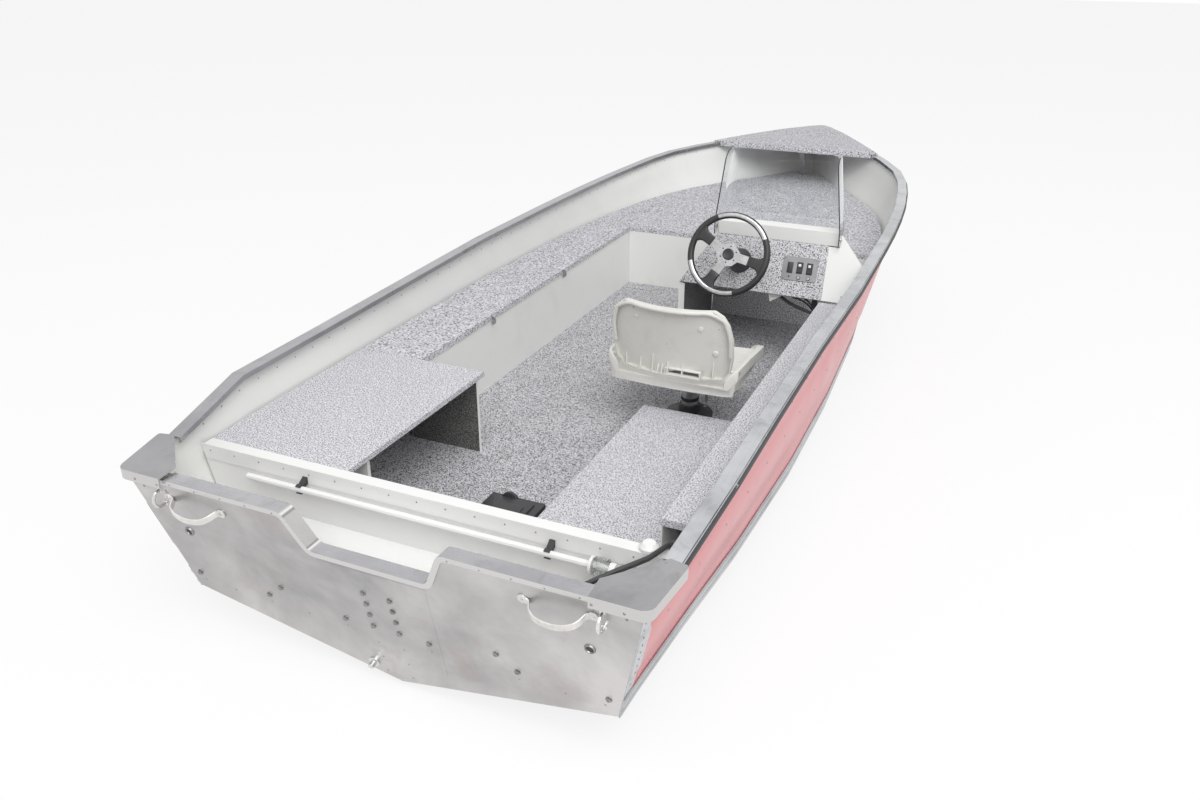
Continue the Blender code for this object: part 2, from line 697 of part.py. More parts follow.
def make_transom():
    notch = transom_top_line()[1:-1]
    def hull_point(z):
        row = section(rake_y(z))
        head, foot = side_line(row)
        t = (z - foot[1]) / (head[1] - foot[1])
        return (foot[0] + (head[0] - foot[0]) * t, z)
    chine = hull_point(section(rake_y(STATIONS[0][4]))[4])
    corner = hull_point(TRANSOM_TOP - TRANSOM_CORNER)
    head = (corner[0] - TRANSOM_TURN_IN, TRANSOM_TOP)
    half = [chine, corner, head]
    outline = [(0.0, 0.0), *half, *reversed(notch), *[(-x, z) for x, z in reversed(half)]]
    rings = [[(x, rake_y(z) + depth, z) for x, z in outline] for depth in (0.0, TRANSOM_THICK)]
    bm = loft_mesh(rings, ends=False)
    edges = [edge for edge in bm.edges if edge.is_boundary]
    clamp = ((-CLAMP_HALF, CLAMP_FOOT), (CLAMP_HALF, CLAMP_FOOT), (CLAMP_HALF, CLAMP_HEAD),
             (-CLAMP_HALF, CLAMP_HEAD))
    foot = [bm.verts.new((x, rake_y(z), z)) for x, z in clamp]
    head = [bm.verts.new((x, rake_y(z) - CLAMP_PROUD, z)) for x, z in clamp]
    edges += [bm.edges.new((foot[i - 1], foot[i])) for i in range(4)]
    for i in range(4):
        bm.faces.new((foot[i - 1], foot[i], head[i], head[i - 1]))
    bm.faces.new(head)
    for depth in (0.0, TRANSOM_THICK):
        rim = [edge for edge in edges
               if all(abs(vertex.co.y - rake_y(vertex.co.z) - depth) < CLAMP_PROUD / 2 for vertex in edge.verts)]
        bmesh.ops.triangle_fill(bm, use_beauty=True, use_dissolve=False, edges=rim)
    return add_object("transom", bm, "bare")


def make_transom_cap():
    """A folded cap over the transom's top edge, with lips down both faces."""
    line = [Vector((x, 0, z)) for x, z in transom_top_line()]
    aft, forward = -CAP_THICK - GAP, TRANSOM_THICK + CAP_THICK + GAP
    profile = ((aft, -CAP_LIP), (aft, GAP + CAP_THICK), (forward, GAP + CAP_THICK), (forward, -CAP_LIP),
               (forward - CAP_THICK, -CAP_LIP), (forward - CAP_THICK, GAP), (aft + CAP_THICK, GAP),
               (aft + CAP_THICK, -CAP_LIP))
    rings = []
    for i, point in enumerate(line):
        before = (point - line[i - 1]).normalized() if i else None
        after = (line[i + 1] - point).normalized() if i + 1 < len(line) else None
        before, after = before or after, after or before
        along = (before + after).normalized()
        stretch = 1 / along.dot(after)
        outward = Vector((-along.z, 0, along.x)) * stretch
        ring = []
        for depth, height in profile:
            place = point + outward * height
            ring.append((place.x, rake_y(place.z) + depth, place.z))
        rings.append(ring)
    return loft("transom_cap", rings, "bare")


def casting_top(x, y):
    return CASTING_TOP + CASTING_RISE * (y - CASTING_OUTLINE[0][1])


def make_casting(name, side):
    """The corner casting: a plate with skirts down its aft and outer edges."""
    radii = (0.0, CASTING_ROUND, 0.010, 0.0, 0.0)
    outline = [(side * x, y) for x, y in rounded(CASTING_OUTLINE, radii)]
    body = slab(name, outline, lambda x, y: casting_top(x, y) - CASTING_SKIRT, casting_top, "cast")
    (x0, y0), (x1, y1), (x2, y2), *_ = CASTING_OUTLINE
    wall = CASTING_WALL
    inner = ((x0 - 0.02, y0 + wall), (x1 - wall, y0 + wall), (x2 - wall, y2 + 0.03), (x0 - 0.02, y2 + 0.03))
    pocket = rounded(inner, (0.0, CASTING_ROUND - wall, 0.0, 0.0))
    cutter = slab(f"{name}_pocket", [(side * x, y) for x, y in pocket],
                  lambda x, y: casting_top(x, y) - 2 * CASTING_SKIRT,
                  lambda x, y: casting_top(x, y) - CASTING_PLATE, "cast")
    cut(body, cutter)
    return body


def make_bow_cap():
    """The small casting that closes the gunwales' tips over the stem."""
    y0, y1 = BOW_CAP_AFT, BOW_CAP_TIP
    z = section(y0)[2]
    half, tip = section(y0)[1] + BOW_CAP_PROUD, BOW_CAP_TIP_HALF
    middle = (half * BOW_CAP_SHOULDER, (y0 + y1) / 2 + 2 * BOW_CAP_PROUD)
    outline = [(half, y0), middle, (tip, y1), (-tip, y1), (-middle[0], middle[1]), (-half, y0)]
    return slab("bow_cap", outline, z + GAP, z + BOW_CAP_THICK, "cast")


def make_bow_plate():
    """The carpeted plate that lies on the gunwales at the bow, its aft edge turned down."""
    rings = []
    lip = section(BOW_PLATE_AFT)[1] - RUB_THICK - GUNWALE_WIDE - BOW_LIP_THICK
    for i, y in enumerate([BOW_PLATE_AFT, *hull_ys(BOW_PLATE_AFT + BOW_LIP_THICK, BOW_CAP_AFT - 0.002)]):
        _, sheer_half, sheer_z, *_ = section(y)
        half = sheer_half - BOW_PLATE_INSET
        level, high = sheer_z + GAP, sheer_z + BOW_PLATE_THICK
        low = level - (BOW_PLATE_LIP if i < 2 else 0.0)
        inner = min(lip, half - 0.002)
        rings.append([(-half, y, level), (-inner, y, level), (-inner, y, low), (inner, y, low),
                      (inner, y, level), (half, y, level), (half, y, high), (-half, y, high)])
        if i == 1:
            rings.append([(x, py + 0.0005, max(pz, level)) for x, py, pz in rings[-1]])
    return loft("bow_plate", rings, "vinyl")


def make_bow():
    make_bow_cap()
    make_bow_plate()
    half, thick = BRACE_HALF, BRACE_THICK
    rings = []
    for y, z in ((BRACE_FOOT_Y, SHELF_TOP + GAP), (BRACE_HEAD_Y, section(BRACE_HEAD_Y)[2] - GAP)):
        rings.append([(-half, y, z), (half, y, z), (half, y + thick, z), (-half, y + thick, z)])
    loft("bow_brace", rings, "bare")
    row, ahead = section(BOW_EYE_Y), section(BOW_EYE_Y + BOW_EYE_HALF)
    spot = Vector((0, row[0], row[5]))
    along = (Vector((0, ahead[0], ahead[5])) - spot).normalized()
    outward = Vector((0, along.z, -along.y))
    points = []
    for step in range(9):
        angle = math.pi * step / 8
        out = KEEL_DEEP + BOW_EYE_REACH * math.sin(angle)
        if step in (0, 8):
            out += GAP + 0.001
        points.append(spot + outward * out + along * (BOW_EYE_HALF * math.cos(angle)))
    tube("bow_eye", points, BOW_EYE_RADIUS, "steel")


def deck_outline(y0, y1, low, high, inner=None, side=1):
    """A board's plan from an inner edge, or across the whole boat, out to the hull."""
    ys = []
    for start, stop in zip(hull_ys(y0, y1), hull_ys(y0, y1)[1:]):
        parts = 4 if start > BOW_SWEEP else 1
        ys += [start + (stop - start) * k / parts for k in range(parts)]
    ys.append(y1)
    outer = [(side * level_half(y, low, high), y) for y in ys]
    if inner is None:
        return outer + [(-x, y) for x, y in reversed(outer)]
    return outer + [(inner, y1), (inner, y0)]


def make_floor_and_decks():
    floor_low = FLOOR_TOP - FLOOR_THICK
    floor_aft, floor_forward = SPLASH_AFT + PANEL + GAP, CAST_DECK_AFT - GAP
    slab("floor", deck_outline(floor_aft, floor_forward, floor_low, FLOOR_TOP), floor_low, FLOOR_TOP, "vinyl")
    low = SHELF_TOP - DECK
    edge = PORT_WALL + PANEL + SHELF_NOSE
    boards = (
        # name, aft and forward ends, inner edge, side, underside
        ("port_shelf", BENCH_FORWARD + GAP, CAST_DECK_AFT - GAP, edge, -1, low),
        ("casting_deck", CAST_DECK_AFT, CAST_DECK_FORWARD, None, 1, low),
        ("starboard_shelf", STAR_SHELF_AFT, STAR_SHELF_FORWARD, STAR_SHELF_INNER, 1, low),
        ("port_bench", BENCH_AFT, BENCH_FORWARD, BENCH_INNER, -1, SHELF_TOP - BENCH_THICK),
    )
    for name, aft, forward, inner, side, under in boards:
        slab(name, deck_outline(aft, forward, under, SHELF_TOP, inner, side), under, SHELF_TOP, "vinyl")


def make_panels():
    foot, head = FLOOR_TOP + GAP, SHELF_TOP - DECK - GAP
    box("port_wall", (PORT_WALL, PORT_WALL + PANEL), (LEG_FORWARD + LEG_THICK + GAP, CAST_DECK_AFT - GAP),
        (foot, head), "white")
    y = CAST_DECK_AFT
    inner = PORT_WALL + PANEL + GAP
    outline = ((inner, foot), (inner_half(y, foot), foot), (inner_half(y, head), head), (inner, head))
    cross_panel("casting_bulkhead", outline, y, y + PANEL, "white")
    for name, y in (("bench_leg_aft", LEG_AFT), ("bench_leg_forward", LEG_FORWARD)):
        box(name, LEG_SPAN, (y, y + LEG_THICK), (foot, SHELF_TOP - BENCH_THICK - GAP), "white")
    box("starboard_shelf_panel", (STAR_SHELF_INNER, STAR_SHELF_INNER + PANEL),
        (STAR_SHELF_AFT, PLATFORM_FORWARD), (foot, head), "white")
    ys = hull_ys(STAR_SHELF_AFT, STAR_SHELF_FORWARD)
    low = head - CLEAT_DEEP
    cleat = [(level_half(y, low, head), y) for y in ys]
    cleat += [(x - CLEAT_WIDE, y) for x, y in reversed(cleat)]
    slab("shelf_cleat", cleat, low, head, "white")


def make_platform():
    x0, x1 = PLATFORM_INNER, STAR_SHELF_INNER - GAP
    y0, y1 = SPLASH_AFT + PANEL + GAP, PLATFORM_FORWARD
    body = box("aft_platform", (x0, x1), (y0, y1), (FLOOR_TOP + GAP, PLATFORM_TOP), "vinyl")
    wall = PLATFORM_WALL
    cut(body, box("platform_hollow", (x0 + wall, x1 - wall), (y0 + wall, y1 - wall),
                  (FLOOR_TOP - wall, PLATFORM_TOP - wall), "vinyl"))


def make_splashwell():
    y0, y1 = SPLASH_AFT, SPLASH_AFT + PANEL
    foot = FLOOR_TOP - FLOOR_THICK
    levels = [foot + (SPLASH_TOP - foot) * share for share in SPLASH_LEVELS]
    outline = [(level_half(y0, z, z), z) for z in levels]
    outline = [(min(x, inner_half(y1, z)), z) for x, z in outline]
    outline += [(-x, z) for x, z in reversed(outline)]
    cross_panel("splashwell_bulkhead", outline, y0, y1, "white")
    half = inner_half(y0, SPLASH_TOP - TRIM_DEEP) - PANEL
    low, under = SPLASH_TOP - TRIM_DEEP, SPLASH_TOP + GAP
    high, near = under + TRIM_THICK, y0 - GAP
    far = near - TRIM_THICK
    ring = ((far, low), (far, high), (y1 + TRIM_FLANGE, high), (y1 + TRIM_FLANGE, under), (near, under),
            (near, low))
    loft("splashwell_trim", [[(x, y, z) for y, z in ring] for x in (-half, half)], "white")
    aft = rake_y(PAN_HEIGHT) + TRANSOM_THICK + 0.002
    forward = y0 - GAP
    def high_at(x, y):
        return PAN_HEIGHT + PAN_SLOPE * (y - aft)
    def low_at(x, y):
        return high_at(x, y) - SKIN
    corners = [(level_half(y, high_at(0, y), low_at(0, y)), y) for y in (aft, 0.0, forward)]
    slab("splashwell_pan", corners + [(-x, y) for x, y in reversed(corners)], low_at, high_at, "white")


def dash_frame():
    """Matrix from the dash's own axes (across, up the slope, out towards the driver) to the boat's."""
    (y0, z0), (y1, z1) = DASH_FOOT, DASH_HEAD
    up = Vector((0, y1 - y0, z1 - z0)).normalized()
    across = Vector((1, 0, 0))
    out = across.cross(up)
    frame = Matrix((across, up, out)).transposed().to_4x4()
    frame.translation = Vector((0, y0, z0))
    return frame


def placed(frame, points):
    return [tuple(frame @ Vector(point)) for point in points]


def dash_height(z):
    """Distance up the dash's slope from its foot to height z."""
    (y0, z0), (y1, z1) = DASH_FOOT, DASH_HEAD
    return (z - z0) * math.hypot(y1 - y0, z1 - z0) / (z1 - z0)


def dash_at(z, foot, head):
    """A value that runs from foot to head as z goes up the dash, and stays level above and below it."""
    share = (z - DASH_FOOT[1]) / (DASH_HEAD[1] - DASH_FOOT[1])
    return foot + (head - foot) * min(1.0, max(0.0, share))


def console_left(z):
    return dash_at(z, DASH_FOOT_SPAN[0], DASH_HEAD_SPAN[0])


def cowl_level(y):
    """Height of the cowl's sloping front at y."""
    crest = COWL_TOP + COWL_RISE
    share = max(0.0, (y - COWL_FORWARD) / (CONSOLE_FRONT - COWL_FORWARD))
    return crest + (CONSOLE_SHOULDER - crest) * share


def make_dash():
    frame = dash_frame()
    long = dash_height(DASH_HEAD[1])
    (foot_left, foot_right), (head_left, head_right) = DASH_FOOT_SPAN, DASH_HEAD_SPAN
    face = ((foot_left, 0), (foot_right, 0), (head_right, long), (head_left, long))
    loft("dash_panel", [placed(frame, [(x, v, w) for x, v in face]) for w in (-DASH_THICK, 0.0)], "vinyl")


def make_console_front():
    """The folded sheet from the dash's head over the cowl and down to the floor."""
    sheet = CONSOLE_SHEET
    y1, z1 = DASH_HEAD
    aft, crest, floor = y1 + sheet / 4, COWL_TOP + COWL_RISE, FLOOR_TOP + GAP
    outer = ((aft, z1 + GAP), (aft, COWL_TOP), (COWL_FORWARD, crest), (CONSOLE_FRONT, CONSOLE_SHOULDER),
             (CONSOLE_FRONT, floor))
    inner = ((CONSOLE_FRONT - sheet, floor), (CONSOLE_FRONT - sheet, CONSOLE_SHOULDER - sheet / 2),
             (COWL_FORWARD - sheet / 2, crest - sheet), (aft + sheet, COWL_TOP - sheet),
             (aft + sheet, z1 + GAP))
    ring = outer + inner
    sides = (console_left, lambda z: dash_at(z, CONSOLE_RIGHT_FOOT, CONSOLE_SPAN[1]))
    loft("console_front", [[(side(z), y, z) for y, z in ring] for side in sides], "white")


def make_console_cheek():
    """The port side: upright below with a flange turned inwards, leaning inboard above with the dash."""
    sheet = CONSOLE_SHEET
    front = CONSOLE_FRONT - sheet - GAP
    knee = DASH_FOOT[1] - DASH_THICK
    top = COWL_TOP - sheet - GAP
    def forward_at(z):
        share = max(0.0, (z - CONSOLE_SHOULDER) / (COWL_TOP + COWL_RISE - CONSOLE_SHOULDER))
        return front - 2 * sheet * min(1.0, 4 * share) - (front - COWL_FORWARD) * share
    rings = []
    for z in sorted((FLOOR_TOP + GAP, knee, knee + sheet, CONSOLE_SHOULDER - sheet, DASH_HEAD[1], top)):
        aft = dash_at(z, DASH_FOOT[0], DASH_HEAD[0]) + CHEEK_SETBACK
        forward = forward_at(z)
        flange = CHEEK_FLANGE if z <= knee else -sheet / 4
        x = console_left(z) - GAP
        rings.append([(x - sheet, aft, z), (x + flange, aft, z), (x + flange, aft + sheet, z),
                      (x, aft + sheet, z), (x, forward, z), (x - sheet, forward, z)])
    loft("console_cheek", rings, "white")


def make_console_wing():
    """The white sheet beside the dash, which closes the console to the hull."""
    frame = dash_frame()
    edge = CONSOLE_SPAN[1] + GLASS_THICK + 3 * GAP
    y0, y1 = DASH_FOOT[0], DASH_HEAD[0]
    shoulder_z, hull = WING_SHOULDER_Z, inner_half(y1, WING_SHOULDER_Z)
    shoulder_x = edge + (hull - edge) * WING_SHOULDER_SHARE
    outline = ((DASH_FOOT_SPAN[1] + GAP, DASH_FOOT[1]), (DASH_HEAD_SPAN[1] + GAP, WING_STEP),
               (edge, WING_STEP), (edge, WING_TOP), (shoulder_x, shoulder_z), (hull, shoulder_z),
               (inner_half(y0, DASH_FOOT[1]), DASH_FOOT[1]))
    rings = [placed(frame, [(x, dash_height(z), w) for x, z in outline]) for w in (-WING_SHEET, 0.0)]
    loft("console_wing", rings, "white")


def make_windshield():
    """One bent sheet: a front that stands on the cowl, and a return with a tab down each side of it."""
    tab = GLASS_AFT + GLASS_TAB
    tab_end = tab + 2 * GLASS_THICK
    def path(x0, x1, front, aft, thick):
        def sheet_line(inset, radius):
            left, right, far = x0 + inset, x1 - inset, front - inset
            corners = ((left, aft), (left, tab), (left, tab_end), (left, far), (right, far), (right, tab_end),
                       (right, tab), (right, aft))
            return rounded(corners, (0.0, 0.0, 0.0, radius, radius, 0.0, 0.0, 0.0), 4)
        return sheet_line(0.0, GLASS_ROUND) + sheet_line(thick, GLASS_ROUND - thick)[::-1]
    left = CONSOLE_SPAN[0] - CONSOLE_SHEET - 2 * GAP - GLASS_THICK
    right = CONSOLE_SPAN[1] + GLASS_THICK + GAP
    inset = GLASS_TAPER
    plan = path(left, right, GLASS_FRONT, GLASS_AFT, GLASS_THICK)
    low = [(x, y, GLASS_TAB_FOOT if y <= tab + GAP else cowl_level(y) + GAP) for x, y in plan]
    bend = [(x, y, cowl_level(y) + GLASS_THICK) for x, y in plan]
    high = [(x, y, GLASS_TOP)
            for x, y in path(left + inset, right - inset, GLASS_FRONT - GLASS_LEAN, GLASS_AFT, GLASS_THICK)]
    return loft("windshield", [low, bend, high], "clear")


def make_dash_fittings():
    frame = dash_frame()
    inner, outer, v0, v1 = SWITCH_PANEL
    x0, x1 = DASH_FOOT_SPAN[1] - inner, DASH_FOOT_SPAN[1] - outer
    plate = rounded(((x0, v0), (x1, v0), (x1, v1), (x0, v1)), (0.006,) * 4, 3)
    rings = [placed(frame, [(x, v, w) for x, v in plate]) for w in (GAP, GAP + SWITCH_THICK)]
    loft("switch_panel", rings, "dark")


def make_wheel():
    """Rim, spider and hub turn about the helm's axis, square to the dash."""
    axis = turning_point("wheel_axis", WHEEL_HUB)
    axis.rotation_euler = (wheel_turn(), 0, 0)
    count, sides = 48, 12
    rings = []
    for i in range(count):
        turn = 2 * math.pi * i / count
        ring = []
        for j in range(sides):
            roll = 2 * math.pi * j / sides
            radius = WHEEL_RADIUS + WHEEL_RIM * math.cos(roll)
            ring.append((radius * math.cos(turn), radius * math.sin(turn), WHEEL_RIM * math.sin(roll)))
        rings.append(ring)
    loft("wheel_rim", rings, "black", axis, closed=True)
    outline = []
    reach = WHEEL_RADIUS - WHEEL_RIM - GAP
    for k, degrees in enumerate(SPOKE_ANGLES):
        angle = math.radians(degrees)
        along, aside = Vector((math.cos(angle), math.sin(angle))), Vector((-math.sin(angle), math.cos(angle)))
        following = math.radians(SPOKE_ANGLES[(k + 1) % 3])
        tip = math.sqrt(reach ** 2 - SPOKE_HALF ** 2)
        wide = aside * SPOKE_HALF
        outline += [along * SPIDER_RADIUS + wide, along * tip + wide, along * reach, along * tip - wide,
                    along * SPIDER_RADIUS - wide]
        middle = angle - ((angle - following) % (2 * math.pi)) / 2
        outline.append(Vector((math.cos(middle), math.sin(middle))) * (SPIDER_RADIUS + 0.004))
    loft("wheel_spider", [[(p.x, p.y, z) for p in outline] for z in (-SPIDER_THICK / 2, SPIDER_THICK / 2)],
         "cast", axis)
    front = SPIDER_THICK / 2 + GAP
    crown = front + HUB_TALL
    turned("wheel_hub", ((0, front), (HUB_RADIUS, front), (HUB_RADIUS, crown - HUB_EASE),
                         (HUB_RADIUS - HUB_EASE, crown - 0.001), (0, crown)), "black", axis, 24)
    back = -SPIDER_THICK / 2 - GAP
    boss = [(radius, back - behind) for radius, behind in BOSS_PROFILE]
    turned("wheel_boss", ((0, back), *boss, (0, back - BOSS_LONG)), "black", axis, 24)


def helm_reach():
    """Distance from the wheel's hub back to the dash's face, along the helm's axis."""
    frame = dash_frame()
    return (frame.inverted() @ Vector(WHEEL_HUB)).z


def wheel_turn():
    """The helm's axis leans back from upright by this angle about X."""
    return math.atan2(DASH_HEAD[1] - DASH_FOOT[1], DASH_HEAD[0] - DASH_FOOT[0])


def make_helm():
    """The bezel on the dash, and behind it the steering gear, which the cable leaves."""
    place = Matrix.Translation(WHEEL_HUB) @ Matrix.Rotation(wheel_turn(), 4, "X")
    reach = helm_reach()
    near = -SPIDER_THICK / 2 - BOSS_LONG - 2 * GAP
    neck = [(radius, near - behind) for radius, behind in BEZEL_NECK]
    skirt = ((HELM_RADIUS, -reach + BEZEL_SKIRT), (HELM_RADIUS + 0.004, -reach + GAP), (0, -reach + GAP))
    turned("helm_bezel", ((0, near), *neck, *skirt), "black", None, 32, place)
    near = -reach - DASH_THICK - GAP
    turned("helm_box", ((0, near), (HELM_BOX_RADIUS, near), (HELM_BOX_RADIUS, near - HELM_BOX_DEEP),
                        (0, near - HELM_BOX_DEEP)), "black", None, 24, place)


def make_pedestal():
    x, y = SEAT_POST
    place = Matrix.Translation((x, y, FLOOR_TOP + GAP))
    turned("pedestal_base", ((0, 0), *BASE_PROFILE, (0, BASE_TALL)), "black", None, 32, place)
    foot = BASE_TALL + GAP
    top = POST_TOP - FLOOR_TOP - GAP
    post = ((0, foot), (POST_RADIUS, foot), (POST_RADIUS, top), (0, top))
    turned("pedestal_post", post, "bare", None, 32, place)


def seat_ring(y, half, middle, roll, wide, deep):
    """One section of the pan: a flat middle and a hollow roll up each side."""
    t = SEAT_SHELL
    flat = half * 0.35
    foot = roll - SEAT_SIDE_TALL
    slope = half - wide - SEAT_SLOPE
    hollow = roll - t if wide > 3 * t else foot + t / 10
    upper = ((flat, middle + t), (slope, middle + 2 * t), (half - wide, roll), (half - t / 2, roll),
             (half, roll - t / 2), (half, foot))
    lower = ((half - t, foot), (half - t, hollow), (half - wide + t, hollow),
             (slope + t, middle + 2 * t - deep), (flat, middle + t - deep))
    right = upper + lower
    count = len(upper)
    ring = [(-x, y, z) for x, z in reversed(upper)] + [(x, y, z) for x, z in right]
    return ring + [(-x, y, z) for x, z in reversed(right[count:])]


def turning_point(name, location, parent=None):
    """An empty on a joint's axis, which carries the pieces that turn with it."""
    empty = bpy.data.objects.new(name, None)
    bpy.context.scene.collection.objects.link(empty)
    empty.location = location
    empty.parent = parent
    return empty


def cross_pin(name, radius, parent, start, stop, segments=12):
    """A bar along X on its parent's axis."""
    angles = [2 * math.pi * k / segments for k in range(segments)]
    rings = [[(x, radius * math.cos(a), radius * math.sin(a)) for a in angles] for x in (start, stop)]
    return loft(name, rings, "seat", parent)


def make_seat():
    """Pan with raised sides on a swivel plate, with ears for the back's pins."""
    swivel = turning_point("seat_swivel", (*SEAT_POST, POST_TOP))
    collar, plate = SWIVEL_COLLAR_HALF, SWIVEL_PLATE_HALF
    step = SWIVEL_TALL - SWIVEL_PLATE_THICK
    rings = []
    for z, half in ((GAP, collar), (step, collar), (step + GAP, plate), (SWIVEL_TALL, plate)):
        corners = ((-half, -half), (half, -half), (half, half), (-half, half))
        rings.append([(x, y, z) for x, y in rounded(corners, (collar / 2,) * 4, 3)])
    loft("seat_plate", rings, "bare", swivel)
    lift = SWIVEL_TALL + GAP
    rings = [[(x, y, z + lift) for x, y, z in seat_ring(*row)] for row in SEAT_ROWS]
    pan = loft("seat_pan", rings, "seat", swivel)
    hinge = turning_point("ear_bore", (0.0, -BACK_HINGE_AFT, BACK_HINGE_RISE), swivel)
    reach = 2 * SEAT_ROWS[2][1]
    cut(pan, cross_pin("ear_bore_cut", BACK_PIN + BACK_PIN_CLEAR, hinge, -reach, reach))
    return swivel


def make_seat_back(swivel):
    """A curved panel with a rim turned aft all round, and a pin each side in the pan's ears."""
    wall = SEAT_SHELL
    count = 8
    shares = [-1 + 2 * i / count for i in range(count + 1)]
    def ring(height, half, lean, deep):
        middle = -BACK_SET - lean
        face = [(half * s, middle + BACK_CURVE * s * s, height) for s in shares]
        hollow = [((half - wall) * s, middle + BACK_CURVE * s * s - deep, height) for s in shares]
        edge = middle + BACK_CURVE - BACK_RIM
        return [(-half, edge, height), *face, (half, edge, height), (half - wall, edge, height),
                *hollow[::-1], (wall - half, edge, height)]
    def row_at(height):
        return fair(BACK_ROWS, height)
    low, high = BACK_ROWS[0][0], BACK_ROWS[-1][0]
    solid, step = BACK_RIM - wall / 10, wall / 10
    levels = [(low, solid), (low + wall, solid), (low + wall + step, wall)]
    levels += [(row[0], wall) for row in BACK_ROWS[1:-1]]
    levels += [(high - wall - step, wall), (high - wall, solid), (high, solid)]
    hinge = turning_point("back_hinge", (0.0, -BACK_HINGE_AFT, BACK_HINGE_RISE), swivel)
    back = loft("seat_back", [ring(*row_at(height), deep) for height, deep in levels], "seat", hinge)
    # The pins end flush with the ears' outer faces
    for word, side in (("port", -1), ("starboard", 1)):
        start, stop = BACK_ROWS[1][1] - wall / 2, SEAT_ROWS[2][1]
        pin = cross_pin(f"back_pin_{word}", BACK_PIN, hinge, side * start, side * stop)
        pin.hide_render = True
        pin.display_type = "WIRE"
        modifier = back.modifiers.new(f"join_{pin.name}", "BOOLEAN")
        modifier.operation = "UNION"
        modifier.solver = "EXACT"
        modifier.object = pin
    return back


def off_transom(x, z, out):
    """The point this far square off the transom's outer face, over the point of the face at x and z."""
    return (x, rake_y(z) - out * math.cos(TRANSOM_RAKE), z - out * math.sin(TRANSOM_RAKE))


def make_transom_fittings():
    """Lifting handles, stern eyes and the drain plug."""
    for word, side in (("port", -1), ("starboard", 1)):
        bend = [off_transom(side * x, z, out) for x, z, out in HANDLE_STAND]
        tube(f"handle_{word}", bend, HANDLE_RADIUS, "cast", 2)
        loop = [off_transom(side * EYE_X, EYE_Z + EYE_HALF, GAP)]
        for step in range(9):
            angle = math.pi * step / 8
            out = EYE_LEG + (EYE_REACH - EYE_LEG) * math.sin(angle)
            loop.append(off_transom(side * EYE_X, EYE_Z + EYE_HALF * math.cos(angle), out))
        loop.append(off_transom(side * EYE_X, EYE_Z - EYE_HALF, GAP))
        tube(f"stern_eye_{word}", loop, EYE_RADIUS, "steel", 2)
    x, z = PLUG_PLACE
    place = Matrix.Translation((x, rake_y(z) - GAP, z)) @ Matrix.Rotation(math.pi / 2 + TRANSOM_RAKE, 4, "X")
    turned("drain_plug", PLUG_PROFILE, "steel", None, 20, place)


def make_light_pole():
    """The stowed stern light lies in two clips on the splashwell bulkhead."""
    y, (start, stop) = SPLASH_AFT - GAP - POLE_OFF, POLE_SPAN
    tube("light_pole", [(start, y, POLE_Z), (stop, y, POLE_Z)], POLE_RADIUS, "white", 3)
    place = Matrix.Translation((stop + GAP, y, POLE_Z)) @ Matrix.Rotation(math.pi / 2, 4, "Y")
    turned("light_globe", GLOBE_PROFILE, "clear", None, 24, place)
    inner = POLE_RADIUS + CLIP_CLEAR
    outer = inner + CLIP_WALL
    foot_y = SPLASH_AFT - 2 * GAP - TRIM_THICK
    foot_z = SPLASH_TOP - TRIM_DEEP
    def arc(radius, start, stop, steps=6):
        angles = [math.radians(start + (stop - start) * step / steps) for step in range(steps + 1)]
        return [(y + radius * math.cos(a), POLE_Z + radius * math.sin(a)) for a in angles]
    # Jaws that open aft, with a foot against the trim's folded face
    jaws = arc(outer, 130, 60) + [(foot_y, foot_z + height) for height in CLIP_FOOT]
    jaws += arc(outer, 0, -130) + arc(inner, -130, 130, 10)
    for i, x in enumerate(CLIPS, 1):
        rings = [[(x + dx, py, pz) for py, pz in jaws] for dx in (-CLIP_HALF, CLIP_HALF)]
        loft(f"pole_clip_{i}", rings, "black")


def make_small_fittings():
    tray_x, tray_y = TRAY_SPAN
    box("battery_tray", tray_x, tray_y, (FLOOR_TOP + GAP, FLOOR_TOP + TRAY_TALL), "black")
    place = Matrix.Translation((SOCKET_X, SPLASH_AFT + SOCKET_SETBACK, SPLASH_TOP + 2 * GAP + TRIM_THICK))
    turned("light_socket", SOCKET_PROFILE, "white", None, 24, place)


def make_cable():
    tube("steering_cable", smooth_path(CABLE_POINTS, CABLE_STEP), CABLE_RADIUS, "black", 2)


def main():
    clear_scene()
    for word, side in (("port", -1), ("starboard", 1)):
        make_hull_side(f"hull_side_{word}", side)
        make_chine_rail(f"chine_rail_{word}", side)
        make_gunwale(f"gunwale_{word}", side)
        make_casting(f"corner_casting_{word}", side)
    make_hull_bottom()
    make_keel()
    make_transom()
    make_transom_cap()
    make_transom_fittings()
    make_bow()
    make_floor_and_decks()
    make_panels()
    make_platform()
    make_splashwell()
    make_light_pole()
    make_small_fittings()
    make_dash()
    make_console_front()
    make_console_cheek()
    make_console_wing()
    make_windshield()
    make_dash_fittings()
    make_wheel()
    make_helm()
    make_pedestal()
    make_seat_back(make_seat())
    make_cable()
    for obj in bpy.data.objects:
        if obj.parent is None:
            obj.location.z -= WATERLINE


main()
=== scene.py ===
"""Open riveted aluminium boat with a side console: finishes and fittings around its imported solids.

Metres. +X is starboard, +Y is the bow, +Z is up, and the origin is at the water's surface,
on the centreline over the transom's foot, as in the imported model.
"""

import math

import bmesh
import bpy
import numpy as np
from bpy.props import FloatProperty, FloatVectorProperty, PointerProperty
from mathutils import Matrix, Vector
from mathutils.bvhtree import BVHTree


